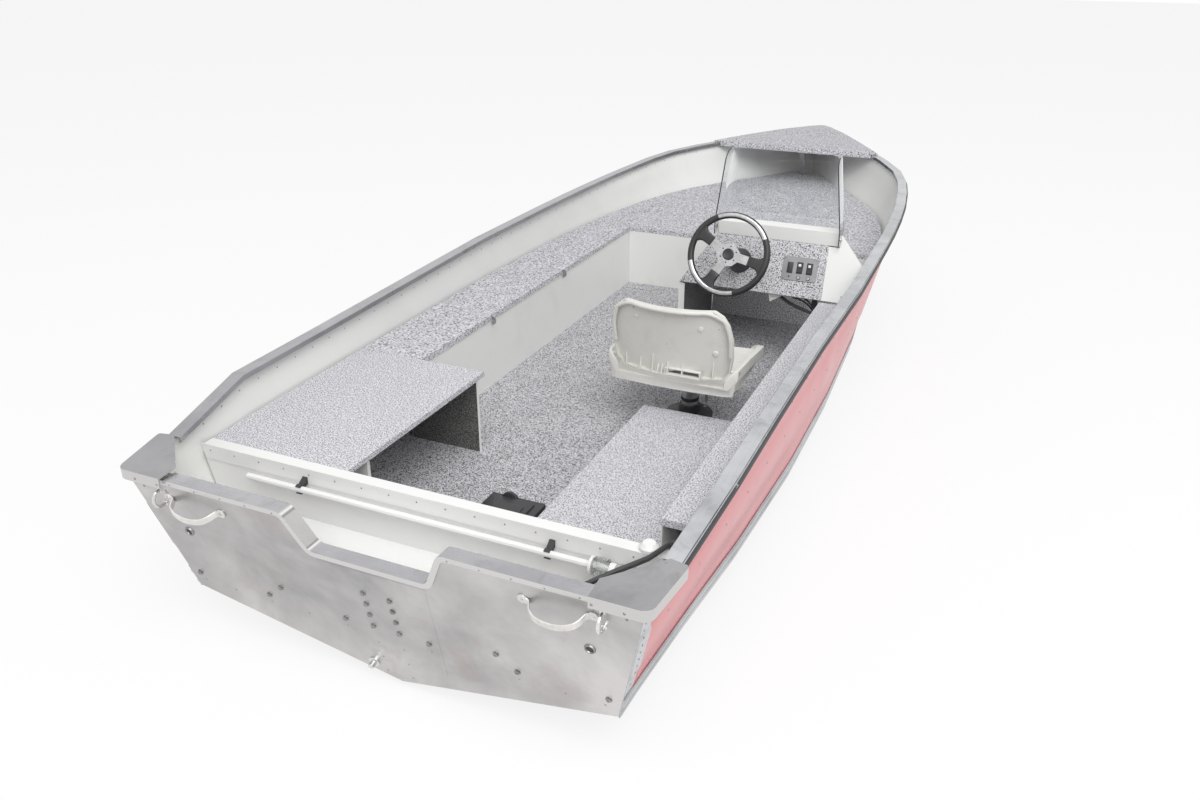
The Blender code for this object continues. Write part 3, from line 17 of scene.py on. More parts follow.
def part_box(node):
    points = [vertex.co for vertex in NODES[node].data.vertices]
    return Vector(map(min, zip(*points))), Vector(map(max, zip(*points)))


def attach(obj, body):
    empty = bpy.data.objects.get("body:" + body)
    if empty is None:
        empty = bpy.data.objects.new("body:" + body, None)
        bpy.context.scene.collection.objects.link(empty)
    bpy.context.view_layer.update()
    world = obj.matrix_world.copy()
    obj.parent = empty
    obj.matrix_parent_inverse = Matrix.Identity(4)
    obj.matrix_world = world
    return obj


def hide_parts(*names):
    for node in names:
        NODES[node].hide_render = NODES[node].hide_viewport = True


bl_info = {
    "name": "Riveted aluminium boat",
    "version": (1, 0, 0),
    "blender": (4, 5, 0),
    "location": "View3D > Sidebar > Boat",
    "description": "Dresses the boat's solids with finishes, rivets and fittings",
    "category": "Object",
}

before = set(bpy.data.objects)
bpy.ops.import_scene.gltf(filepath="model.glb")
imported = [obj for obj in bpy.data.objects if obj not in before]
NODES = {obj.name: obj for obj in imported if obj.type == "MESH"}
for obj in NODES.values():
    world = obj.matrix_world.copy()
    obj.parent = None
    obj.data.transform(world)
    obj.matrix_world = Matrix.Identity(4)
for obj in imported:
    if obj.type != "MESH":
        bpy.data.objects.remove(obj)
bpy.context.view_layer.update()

PHOTO = (1200, 800)            # the frame that the camera below was solved for
PHOTO_FOCAL = 989.9            # in pixels of that frame
SENSOR = 36.0
CAMERA_PLACE = (1.5349, -1.9547, 1.9373)
CAMERA_RIGHT = (0.91352, 0.40678, 0.00263)
CAMERA_DOWN = (0.17556, -0.38842, -0.90460)

WATERLINE = 0.165              # height of the water's surface over the bottom plates
TRANSOM_RAKE = math.radians(12.3)
TRANSOM_THICK = 0.045
DASH_SLOPE = math.atan2(0.232, 0.100)
DASH_FOOT = (0.0, 2.400, 0.578 - WATERLINE)
WHEEL_CENTRE = (0.301, 2.260, 0.785 - WATERLINE)
SEAT_HINGE = (0.330, 1.478, 0.560 - WATERLINE)
SEAT_POST = (0.330, 1.710)
SIDES = (("port", -1), ("starboard", 1))
SUNK = -0.0004                 # how far a fitting's foot lies under the face that it stands on
EDGE_ANGLE = math.radians(32.0)


def up(height):
    """A height over the bottom plates' lowest line, in the model's frame."""
    return height - WATERLINE


def camera_axes():
    """The camera's directions to the right and downward in the picture."""
    return Vector(CAMERA_RIGHT).normalized(), Vector(CAMERA_DOWN).normalized()


def sight(px, py):
    """The direction from the camera through a pixel of the photograph's frame."""
    right, down = camera_axes()
    across, fall = (px - PHOTO[0] / 2) / PHOTO_FOCAL, (py - PHOTO[1] / 2) / PHOTO_FOCAL
    return (right.cross(down) + right * across + down * fall).normalized()


def seen_at_y(px, py, y):
    """The point that shows at a pixel, on a plane across the boat."""
    start, way = Vector(CAMERA_PLACE), sight(px, py)
    return start + way * ((y - start.y) / way.y)


def sloped(origin):
    """The frame of the dash: X to starboard, Y up the dash, Z square out to the driver."""
    matrix = Matrix.Rotation(DASH_SLOPE, 4, "X")
    matrix.translation = Vector(origin)
    return matrix


def off_transom(x, height, out):
    """The point this far square off the transom's outer face."""
    y = -height * math.tan(TRANSOM_RAKE) - out * math.cos(TRANSOM_RAKE)
    return Vector((x, y, up(height) - out * math.sin(TRANSOM_RAKE)))


# Meshes

def link_mesh(name, bm, material, crease=30.0, turn_out=True):
    """Links a form, smooth between its edges that are sharper than crease."""
    if turn_out:
        bmesh.ops.recalc_face_normals(bm, faces=bm.faces)
    mesh = bpy.data.meshes.new(name)
    bm.to_mesh(mesh)
    bm.free()
    mesh.shade_smooth()
    mesh.set_sharp_from_angle(angle=math.radians(crease))
    obj = bpy.data.objects.new(name, mesh)
    bpy.context.scene.collection.objects.link(obj)
    if material:
        mesh.materials.append(material)
    return obj


def piece(name, bm, material, slot, *replaced, body="hull", crease=30.0):
    """Links a finished form, sets it under its body and hides the solids that it stands for; slot is not used."""
    obj = link_mesh(name, bm, MATERIALS[material], crease)
    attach(obj, body)
    if replaced:
        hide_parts(*replaced)


def placed(rings, place):
    """The rings of points in a frame, or as they are without one."""
    return rings if place is None else [[tuple(place @ Vector(point)) for point in ring] for ring in rings]


def loft_mesh(rings, closed=False, bm=None):
    """Joins rings of points, each a closed loop of the same count."""
    bm = bm or bmesh.new()
    loops = [[bm.verts.new(point) for point in ring] for ring in rings]
    pairs = list(zip(loops, loops[1:]))
    if closed:
        pairs.append((loops[-1], loops[0]))
    count = len(loops[0])
    for first, second in pairs:
        for i in range(count):
            j = (i + 1) % count
            bm.faces.new((first[i], first[j], second[j], second[i]))
    if not closed:
        bm.faces.new(loops[0])
        bm.faces.new(loops[-1])
    return bm


def turned_mesh(profile, segments=16, bm=None, place=None):
    """A turned form about Z from (radius, height) points that start and end on the axis."""
    bm = bm or bmesh.new()
    before = set(bm.verts)
    points = [bm.verts.new((radius, 0.0, height)) for radius, height in profile]
    edges = [bm.edges.new(pair) for pair in zip(points, points[1:])]
    bmesh.ops.spin(bm, geom=points + edges, cent=(0, 0, 0), axis=(0, 0, 1),
                   angle=2 * math.pi, steps=segments, use_merge=True)
    made = [v for v in bm.verts if v not in before]
    bmesh.ops.remove_doubles(bm, verts=made, dist=1e-6)
    if place is not None:
        bmesh.ops.transform(bm, matrix=place, verts=[v for v in bm.verts if v not in before])
    return bm


def box_mesh(low, high, bm=None):
    (x0, y0, z0), (x1, y1, z1) = low, high
    return loft_mesh([[(x0, y0, z), (x1, y0, z), (x1, y1, z), (x0, y1, z)] for z in (z0, z1)], bm=bm)


def rounded_box(low, high, corner, place=None, bm=None, edge=0.0):
    """A flat plate with rounded corners, its front edge eased by edge."""
    (x0, y0, z0), (x1, y1, z1) = low, high
    eased = ((z1 - edge, 0.0), (z1 - 0.3 * edge, 0.3 * edge)) if edge else ()
    rings = []
    for z, inset in ((z0, 0.0), *eased, (z1, edge)):
        outline = ((x0 + inset, y0 + inset, z), (x1 - inset, y0 + inset, z), (x1 - inset, y1 - inset, z),
                   (x0 + inset, y1 - inset, z))
        rings.append(rounded(outline, (max(1e-4, corner - inset),) * 4, 4))
    return loft_mesh(placed(rings, place), bm=bm)


def along_path(points, section, up_hint=(0, 0, 1), bm=None):
    """Sweeps a closed section of (aside, upward) points along a path."""
    points = [Vector(point) for point in points]
    rings = []
    for i, point in enumerate(points):
        way = (points[min(i + 1, len(points) - 1)] - points[max(i - 1, 0)]).normalized()
        aside = way.cross(Vector(up_hint)).normalized()
        upward = aside.cross(way).normalized()
        rings.append([tuple(point + aside * a + upward * b) for a, b in section])
    return loft_mesh(rings, bm=bm)


def round_section(radius, sides=10):
    turns = [2 * math.pi * k / sides for k in range(sides)]
    return [(radius * math.cos(turn), radius * math.sin(turn)) for turn in turns]


def smooth_path(points, steps=5):
    """A curve through all the points."""
    points = [Vector(point) for point in points]
    made = []
    for i in range(len(points) - 1):
        a, b = points[max(i - 1, 0)], points[i]
        c, d = points[i + 1], points[min(i + 2, len(points) - 1)]
        for step in range(steps):
            s = step / steps
            made.append(0.5 * ((2 * b) + (c - a) * s + (2 * a - 5 * b + 4 * c - d) * s * s
                               + (3 * b - a - 3 * c + d) * s ** 3))
    return made + [points[-1]]


def ease_edges(obj, width):
    """Rounds a solid's edges that are sharper than the joints between its flat faces."""
    modifier = obj.modifiers.new("edge_round", "BEVEL")
    modifier.width = width
    modifier.segments = 2
    modifier.limit_method = "ANGLE"
    modifier.angle_limit = math.radians(38.0)
    modifier.use_clamp_overlap = True


def arc_corner(previous, corner, following, radius, steps=5):
    """Points round a corner, from its side towards the previous point to that towards the following one."""
    corner, previous, following = Vector(corner), Vector(previous), Vector(following)
    to_previous = (previous - corner).normalized()
    to_following = (following - corner).normalized()
    half = to_previous.angle(to_following) / 2
    setback = radius / math.tan(half)
    centre = corner + (to_previous + to_following).normalized() * radius / math.sin(half)
    start = corner + to_previous * setback - centre
    stop = corner + to_following * setback - centre
    sweep = start.angle(stop)
    made = []
    for step in range(steps + 1):
        t = step / steps
        arm = (start * math.sin((1 - t) * sweep) + stop * math.sin(t * sweep)) / math.sin(sweep)
        made.append(tuple(centre + arm))
    return made


def rounded(outline, radii, steps=5):
    """A closed flat outline with each corner rounded by its own radius."""
    made = []
    for i, (corner, radius) in enumerate(zip(outline, radii)):
        if radius:
            made += arc_corner(outline[i - 1], corner, outline[(i + 1) % len(outline)], radius, steps)
        else:
            made.append(tuple(corner))
    return made


def facing_matrix(place, normal, up_hint=(0, 0, 1)):
    """A frame with Z along the normal, at the place."""
    z = Vector(normal).normalized()
    x = Vector(up_hint).cross(z)
    if x.length < 1e-4:
        x = Vector((1, 0, 0))
    x.normalize()
    y = z.cross(x)
    matrix = Matrix((x, y, z)).transposed().to_4x4()
    matrix.translation = Vector(place)
    return matrix


class Skin:
    """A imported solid's surface, on which fittings are placed."""

    def __init__(self, *names):
        points, faces = [], []
        for name in names:
            mesh = NODES[name].data
            first = len(points)
            points += [v.co.copy() for v in mesh.vertices]
            faces += [[first + i for i in polygon.vertices] for polygon in mesh.polygons]
        self.tree = BVHTree.FromPolygons(points, faces)
        self.points = np.array(points)
        self.faces = np.array([face[:3] for face in faces])

    def hit(self, start, direction):
        """The place and the outward normal where a ray first meets the surface."""
        direction = Vector(direction).normalized()
        place, normal, _, _ = self.tree.ray_cast(Vector(start), direction)
        if place is None:
            raise RuntimeError(f"No surface on the line from {tuple(start)} along {tuple(direction)}")
        return place, -normal if normal.dot(direction) > 0 else normal

    def slice(self, y):
        """The x and z of the points where the surface crosses a plane across the boat."""
        corners = self.points[self.faces]
        made = []
        for a, b in ((0, 1), (1, 2), (2, 0)):
            first, second = corners[:, a], corners[:, b]
            across = (first[:, 1] - y) * (second[:, 1] - y) < 0
            first, second = first[across], second[across]
            t = ((y - first[:, 1]) / (second[:, 1] - first[:, 1]))[:, None]
            made.append((first + (second - first) * t)[:, [0, 2]])
        return np.concatenate(made)


# Shader nodes

def colour(value):
    return (*value, 1.0) if len(value) == 3 else tuple(value)


def feed(tree, socket, value):
    """Links another socket to this input, or sets its value."""
    if isinstance(value, bpy.types.NodeSocket):
        tree.links.new(value, socket)
    else:
        socket.default_value = colour(value) if socket.type == "RGBA" else value


def add_node(tree, kind, settings=None, inputs=None):
    node = tree.nodes.new(kind)
    for name, value in (settings or {}).items():
        setattr(node, name, value)
    for name, value in (inputs or {}).items():
        feed(tree, node.inputs[name], value)
    return node


def ramp(tree, value, stops):
    """A colour ramp from (position, colour) stops."""
    node = add_node(tree, "ShaderNodeValToRGB", inputs={"Fac": value})
    elements = node.color_ramp.elements
    for element, (position, tint) in ((elements[1], stops[-1]), (elements[0], stops[0])):
        element.position, element.color = position, colour(tint)
    for position, tint in stops[1:-1]:
        elements.new(position).color = colour(tint)
    return node.outputs["Color"]


def blend_colour(tree, factor, first, second):
    """A mix of two colours, by the sockets that a colour mix has in the node."""
    node = add_node(tree, "ShaderNodeMix", {"data_type": "RGBA"})
    for index, value in ((0, factor), (6, first), (7, second)):
        feed(tree, node.inputs[index], value)
    return node.outputs[2]


def spread(tree, value, low, high, to_low=0.0, to_high=1.0):
    node = add_node(tree, "ShaderNodeMapRange",
                    inputs={"Value": value, "From Min": low, "From Max": high, "To Min": to_low, "To Max": to_high})
    return node.outputs["Result"]


def reckon(tree, operation, first, second=0.0):
    node = add_node(tree, "ShaderNodeMath", {"operation": operation})
    for socket, value in zip(node.inputs, (first, second)):
        feed(tree, socket, value)
    return node.outputs[0]


def noise(tree, coords, scale, detail=2.0, rough=0.5, distortion=0.0):
    node = add_node(tree, "ShaderNodeTexNoise",
                    inputs={"Vector": coords, "Scale": scale, "Detail": detail, "Roughness": rough,
                            "Distortion": distortion})
    return node.outputs["Fac"]


def vectors(tree, operation, first, second):
    node = add_node(tree, "ShaderNodeVectorMath", {"operation": operation})
    for socket, value in zip(node.inputs, (first, second)):
        feed(tree, socket, value)
    return node.outputs[0]


def parts(tree, vector):
    """The X, Y and Z of a vector, by their letters."""
    return add_node(tree, "ShaderNodeSeparateXYZ", inputs={"Vector": vector}).outputs


def normals(tree):
    """The X, Y and Z of the normal in the object's own frame."""
    return parts(tree, tree.nodes.new("ShaderNodeTexCoord").outputs["Normal"])


def new_tree(kind, name, takes, gives):
    """An empty node group with (label, kind) sockets; returns it with its input and output sockets."""
    tree = bpy.data.node_groups.new(name, f"{kind}NodeTree")
    for way, sockets in (("INPUT", takes), ("OUTPUT", gives)):
        for label, socket in sockets:
            tree.interface.new_socket(label, in_out=way, socket_type=f"NodeSocket{socket}")
    return tree, tree.nodes.new("NodeGroupInput").outputs, tree.nodes.new("NodeGroupOutput").inputs


def fleck_group():
    """Woven vinyl: a pale ground with fine dark and white flecks, and its pile's height."""
    group, takes, gives = new_tree(
        "Shader", "vinyl_flecks",
        (("Vector", "Vector"), ("Fleck Density", "Float"), ("Ground", "Color"), ("Dark", "Color"),
         ("Light", "Color"), ("Dark Share", "Float"), ("Light Share", "Float")),
        (("Color", "Color"), ("Height", "Float")))
    fine = noise(group, takes["Vector"], takes["Fleck Density"], 2.0, 0.6)
    moved = vectors(group, "ADD", takes["Vector"], (3.1, 7.7, 1.3))
    other = noise(group, moved, takes["Fleck Density"], 2.0, 0.6)
    coarse = noise(group, takes["Vector"], 7.0, 3.0)

    def flecks(cloud, share):
        """1 where the noise passes a level that falls as the share grows."""
        level = reckon(group, "SUBTRACT", 0.62, share)
        return spread(group, cloud, level, reckon(group, "ADD", level, 0.035))
    dark, light = flecks(fine, takes["Dark Share"]), flecks(other, takes["Light Share"])
    ground = blend_colour(group, spread(group, coarse, 0.3, 0.7, 0.0, 0.25), takes["Ground"], takes["Light"])
    tinted = blend_colour(group, light, ground, takes["Light"])
    group.links.new(blend_colour(group, dark, tinted, takes["Dark"]), gives["Color"])
    group.links.new(reckon(group, "SUBTRACT", other, reckon(group, "MULTIPLY", dark, 0.35)), gives["Height"])
    return group


def mill_group():
    """Rolled or cast metal: broad cloudy patches, short rolling lines and handling stains."""
    group, takes, gives = new_tree(
        "Shader", "mill_marks",
        (("Vector", "Vector"), ("Line Stretch", "Vector"), ("Patch Scale", "Float"), ("Bright", "Color"),
         ("Dull", "Color"), ("Stain", "Color"), ("Line Strength", "Float")),
        (("Color", "Color"), ("Roughness Change", "Float"), ("Height", "Float")))
    patches = noise(group, takes["Vector"], takes["Patch Scale"], 5.0, 0.6, 0.3)
    stains = noise(group, takes["Vector"], reckon(group, "MULTIPLY", takes["Patch Scale"], 2.7), 6.0, 0.62, 0.5)
    lines = noise(group, vectors(group, "MULTIPLY", takes["Vector"], takes["Line Stretch"]), 1.0, 3.0, 0.6)
    base = blend_colour(group, spread(group, patches, 0.32, 0.68), takes["Dull"], takes["Bright"])
    stain_mask = reckon(group, "MULTIPLY", spread(group, stains, 0.54, 0.74), 0.55)
    base = blend_colour(group, stain_mask, base, takes["Stain"])
    streak = reckon(group, "MULTIPLY", reckon(group, "SUBTRACT", lines, 0.5), takes["Line Strength"])
    lit = add_node(group, "ShaderNodeHueSaturation",
                   inputs={"Value": reckon(group, "ADD", streak, 1.0), "Color": base})
    group.links.new(lit.outputs["Color"], gives["Color"])
    change = reckon(group, "ADD", spread(group, patches, 0.3, 0.7, -0.07, 0.07),
                    reckon(group, "MULTIPLY", streak, 0.3))
    group.links.new(change, gives["Roughness Change"])
    group.links.new(reckon(group, "ADD", lines, reckon(group, "MULTIPLY", stains, 0.3)), gives["Height"])
    return group


def scuff_group():
    """Dust and light scuffs on a painted or moulded surface, as a mask and a small height."""
    group, takes, gives = new_tree(
        "Shader", "scuffs", (("Vector", "Vector"), ("Scale", "Float"), ("Share", "Float")),
        (("Mask", "Float"), ("Height", "Float")))
    cloud = noise(group, takes["Vector"], takes["Scale"], 6.0, 0.62, 0.6)
    low = reckon(group, "SUBTRACT", 0.75, takes["Share"])
    group.links.new(spread(group, cloud, low, reckon(group, "ADD", low, 0.25)), gives["Mask"])
    fine = noise(group, takes["Vector"], reckon(group, "MULTIPLY", takes["Scale"], 40.0), 3.0)
    group.links.new(fine, gives["Height"])
    return group


def place_group(tree, group, inputs):
    return add_node(tree, "ShaderNodeGroup", {"node_tree": group}, inputs).outputs


MATERIALS = {}


def new_material(name, roughness, metallic=0.0):
    """A material's node tree, its Principled shader and its Object coordinates."""
    made = bpy.data.materials.new(name)
    MATERIALS[name] = made
    made.use_nodes = True
    tree = made.node_tree
    shader = tree.nodes["Principled BSDF"]
    shader.inputs["Roughness"].default_value = roughness
    shader.inputs["Metallic"].default_value = metallic
    return tree, shader, tree.nodes.new("ShaderNodeTexCoord").outputs["Object"]


def bump(tree, shader, height, strength, distance):
    node = add_node(tree, "ShaderNodeBump", inputs={"Height": height, "Strength": strength, "Distance": distance})
    tree.links.new(node.outputs["Normal"], shader.inputs["Normal"])


METAL_RELIEF = (0.12, 0.0006)  # strength and depth of the marks in bare metal


def scaled(tint, share):
    return tuple(min(1.0, share * c) for c in tint)


def metal(name, group, tones, rough, stretch, patch, lines, metallic=0.92, upright_painted_reflection=None):
    """Bare metal from its bright, dull and stain tones; faces that are not level may take another colour, with a dark
    and a bright band where they turn towards the top: a painted reflection.
    """
    bright, dull, stain = tones
    tree, shader, coords = new_material(name, rough, metallic)
    marks = place_group(tree, group, {"Vector": coords, "Line Stretch": stretch, "Patch Scale": patch,
                                      "Bright": bright, "Dull": dull, "Stain": stain, "Line Strength": lines})
    tint = marks["Color"]
    # Painted reflection: faces short of level take the given colour, darker then brighter towards the top, and level
    # tops keep the metal's marks.
    if upright_painted_reflection:
        rise = normals(tree)["Z"]
        painted_reflection_bands = ramp(tree, rise, ((0.45, upright_painted_reflection), (0.62, scaled(upright_painted_reflection, 0.45)), (0.76, scaled(upright_painted_reflection, 1.4)),
                                  (0.88, scaled(upright_painted_reflection, 0.8))))
        tint = blend_colour(tree, spread(tree, rise, 0.86, 0.95), painted_reflection_bands, tint)
    tree.links.new(tint, shader.inputs["Base Color"])
    tree.links.new(reckon(tree, "ADD", marks["Roughness Change"], rough), shader.inputs["Roughness"])
    bump(tree, shader, marks["Height"], *METAL_RELIEF)


def painted(name, group, base, dirt, rough, share=0.22, scale=2.5, coat=0.0, ripple=0.05):
    """Paint or a pale moulding, with dirt in its scuffs."""
    tree, shader, coords = new_material(name, rough)
    marks = place_group(tree, group, {"Vector": coords, "Scale": scale, "Share": share})
    tint = blend_colour(tree, reckon(tree, "MULTIPLY", marks["Mask"], 0.35), base, dirt)
    tree.links.new(tint, shader.inputs["Base Color"])
    tree.links.new(spread(tree, marks["Mask"], 0.0, 1.0, rough, min(1.0, rough + 0.18)),
                   shader.inputs["Roughness"])
    shader.inputs["Coat Weight"].default_value = coat
    shader.inputs["Coat Roughness"].default_value = 0.12
    bump(tree, shader, marks["Height"], ripple, 0.0004)


def vinyl(name, group, ground, dark, dark_share, light_share, density):
    """Woven deck covering."""
    tree, shader, coords = new_material(name, 0.88)
    flecks = place_group(tree, group, {"Vector": coords, "Fleck Density": density, "Ground": ground, "Dark": dark,
                                       "Light": (0.76, 0.76, 0.79), "Dark Share": dark_share,
                                       "Light Share": light_share})
    tree.links.new(flecks["Color"], shader.inputs["Base Color"])
    bump(tree, shader, flecks["Height"], 0.35, 0.0010)


# Bright, dull and stain tones of the rolled plate, and the dust that lies inside the hull
ROLLED = ((0.60, 0.605, 0.615), (0.42, 0.425, 0.435), (0.34, 0.345, 0.36))
ALONG_X, ALONG_Y, ANY_WAY = (2.0, 2.0, 260.0), (260.0, 2.0, 260.0), (60.0, 60.0, 60.0)
HULL_SCUFFS = {"Scale": 2.0, "Share": 0.30}
HULL_DUST, INSIDE_DIRT = 0.30, (0.70, 0.69, 0.67)


def hull_enamel(group, outside, inside, dirt):
    """Coloured where the plate faces away from the centreline, and pale on the inner side."""
    tree, shader, coords = new_material("side_enamel", 0.30)
    outward = reckon(tree, "MULTIPLY", normals(tree)["X"], parts(tree, coords)["X"])
    mask = spread(tree, outward, -0.001, 0.001)
    marks = place_group(tree, group, {"Vector": coords, **HULL_SCUFFS})
    dusty = reckon(tree, "MULTIPLY", marks["Mask"], HULL_DUST)
    outer = blend_colour(tree, dusty, outside, dirt)
    inner = blend_colour(tree, dusty, inside, INSIDE_DIRT)
    tree.links.new(blend_colour(tree, mask, inner, outer), shader.inputs["Base Color"])
    tree.links.new(spread(tree, marks["Mask"], 0.0, 1.0, 0.28, 0.44), shader.inputs["Roughness"])
    shader.inputs["Coat Weight"].default_value = 0.10
    shader.inputs["Coat Roughness"].default_value = 0.15
    bump(tree, shader, marks["Height"], 0.05, 0.0004)


def bottom_plate(mill, scuffs, inside):
    """Bare rolled metal under the boat, and pale paint on the inner side, which faces up."""
    tree, shader, coords = new_material("bottom_plate", 0.34)
    bright, dull, stain = ROLLED
    bare = spread(tree, normals(tree)["Z"], -0.02, 0.02, 1.0, 0.0)
    marks = place_group(tree, mill, {"Vector": coords, "Line Stretch": ALONG_Y, "Patch Scale": 3.0,
                                     "Bright": bright, "Dull": dull, "Stain": stain, "Line Strength": 0.16})
    dust = place_group(tree, scuffs, {"Vector": coords, **HULL_SCUFFS})
    paint = blend_colour(tree, reckon(tree, "MULTIPLY", dust["Mask"], HULL_DUST), inside, INSIDE_DIRT)
    tree.links.new(blend_colour(tree, bare, paint, marks["Color"]), shader.inputs["Base Color"])
    tree.links.new(reckon(tree, "MULTIPLY", bare, 0.92), shader.inputs["Metallic"])
    rough = reckon(tree, "MULTIPLY", reckon(tree, "ADD", marks["Roughness Change"], -0.10), bare)
    tree.links.new(reckon(tree, "ADD", rough, 0.42), shader.inputs["Roughness"])
    bump(tree, shader, marks["Height"], *METAL_RELIEF)


def light_and_shade_lining_panel(name, group, outside, painted_light_lining, axis, way, under):
    """White outside; on faces that look this way along the axis, under this height, a speckled covering in the given
    tone, which is painted light: dark as painted shade on the cheek and the forward leg, paler than the floor's vinyl
    as painted light on the console front's inner face.
    """
    tree, shader, coords = new_material(name, 0.42)
    facing = spread(tree, reckon(tree, "MULTIPLY", normals(tree)[axis], way), 0.30, 0.40)
    low = spread(tree, parts(tree, coords)["Z"], under, under + 0.002, 1.0, 0.0)
    # Speckled tone in the given colour: painted shade where it is dark, painted light where it is pale.
    painted_light_cloth = place_group(tree, group, {"Vector": coords, "Fleck Density": 205.0, "Ground": painted_light_lining,
                                      "Dark": scaled(painted_light_lining, 0.25), "Light": scaled(painted_light_lining, 1.7),
                                      "Dark Share": 0.10, "Light Share": 0.10})
    mask = reckon(tree, "MULTIPLY", facing, low)
    tree.links.new(blend_colour(tree, mask, outside, painted_light_cloth["Color"]), shader.inputs["Base Color"])
    tree.links.new(spread(tree, mask, 0.0, 1.0, 0.42, 0.90), shader.inputs["Roughness"])
    bump(tree, shader, reckon(tree, "MULTIPLY", painted_light_cloth["Height"], mask), 0.3, 0.0010)


def clear_acrylic():
    tree, shader, coords = new_material("clear_acrylic", 0.02)
    shader.inputs["Transmission Weight"].default_value = 1.0
    shader.inputs["IOR"].default_value = 1.49
    smears = noise(tree, coords, 9.0, 5.0, 0.6)
    tree.links.new(ramp(tree, smears, ((0.3, (0.97, 0.98, 0.985)), (0.75, (0.93, 0.95, 0.96)))),
                   shader.inputs["Base Color"])
    tree.links.new(spread(tree, smears, 0.35, 0.8, 0.01, 0.07), shader.inputs["Roughness"])


def leather(name, tone, grain=900.0, rough=0.5):
    """Black grained covering or moulded plastic."""
    tree, shader, coords = new_material(name, rough)
    cells = add_node(tree, "ShaderNodeTexVoronoi", {"feature": "DISTANCE_TO_EDGE"},
                     {"Vector": coords, "Scale": grain})
    cloud = noise(tree, coords, 18.0, 4.0)
    tree.links.new(ramp(tree, cloud, ((0.25, tone), (0.8, tuple(min(1.0, 1.9 * c + 0.006) for c in tone)))),
                   shader.inputs["Base Color"])
    tree.links.new(spread(tree, cloud, 0.3, 0.7, rough - 0.06, rough + 0.1), shader.inputs["Roughness"])
    bump(tree, shader, cells.outputs["Distance"], 0.25, 0.0004)


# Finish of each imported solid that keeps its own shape: material, then the nodes that wear it
FINISHES = (
    ("plate_aluminium", ("transom",)),
    ("bottom_plate", ("hull_bottom",)),
    ("rolled_aluminium", ("chine_rail_port", "chine_rail_starboard", "keel", "bow_brace", "pedestal_post",
                          "seat_plate")),
    ("gunwale_aluminium", ("gunwale_starboard",)),
    # The port gunwale wears a darker copy of the gunwale metal, as painted shade.
    ("shaded_port_gunwale_metal", ("gunwale_port",)),
    ("cap_aluminium", ("transom_cap",)),
    ("cast_aluminium", ("corner_casting_port", "corner_casting_starboard", "bow_cap", "handle_port",
                        "handle_starboard")),
    ("wheel_aluminium", ("wheel_spider",)),
    ("side_enamel", ("hull_side_port", "hull_side_starboard")),
    ("white_enamel", ("port_wall", "casting_bulkhead", "bench_leg_aft", "starboard_shelf_panel", "shelf_cleat",
                      "console_wing")),
    ("well_enamel", ("splashwell_bulkhead", "splashwell_trim", "splashwell_pan", "light_pole", "light_socket")),
    # The console front's inner face is speckled vinyl, made paler than the floor's as painted light where it lies in
    # shade.
    ("front_vinyl_painted_light", ("console_front",)),
    # The cheek's starboard face and the forward leg's aft face are dark as painted shade.
    ("cheek_painted_shade", ("console_cheek",)),
    ("leg_painted_shade", ("bench_leg_forward",)),
    ("speckled_vinyl", ("starboard_shelf", "port_bench", "aft_platform")),
    # The far decks wear a darker copy of the speckled vinyl, as painted shade.
    ("shaded_far_deck_vinyl", ("bow_plate", "port_shelf", "casting_deck")),
    ("floor_vinyl", ("floor",)),
    ("dash_vinyl", ("dash_panel",)),
    ("black_moulding", ("wheel_hub", "wheel_boss", "helm_bezel", "helm_box", "pedestal_base", "pole_clip_1",
                        "pole_clip_2", "battery_tray", "steering_cable")),
    ("wheel_leather", ("wheel_rim",)),
    ("seat_moulding", ("seat_pan", "seat_back")),
    ("polished_steel", ("stern_eye_port", "stern_eye_starboard", "bow_eye", "drain_plug")),
    ("clear_acrylic", ("light_globe", "windshield")),
    ("grey_panel", ("switch_panel",)),
)


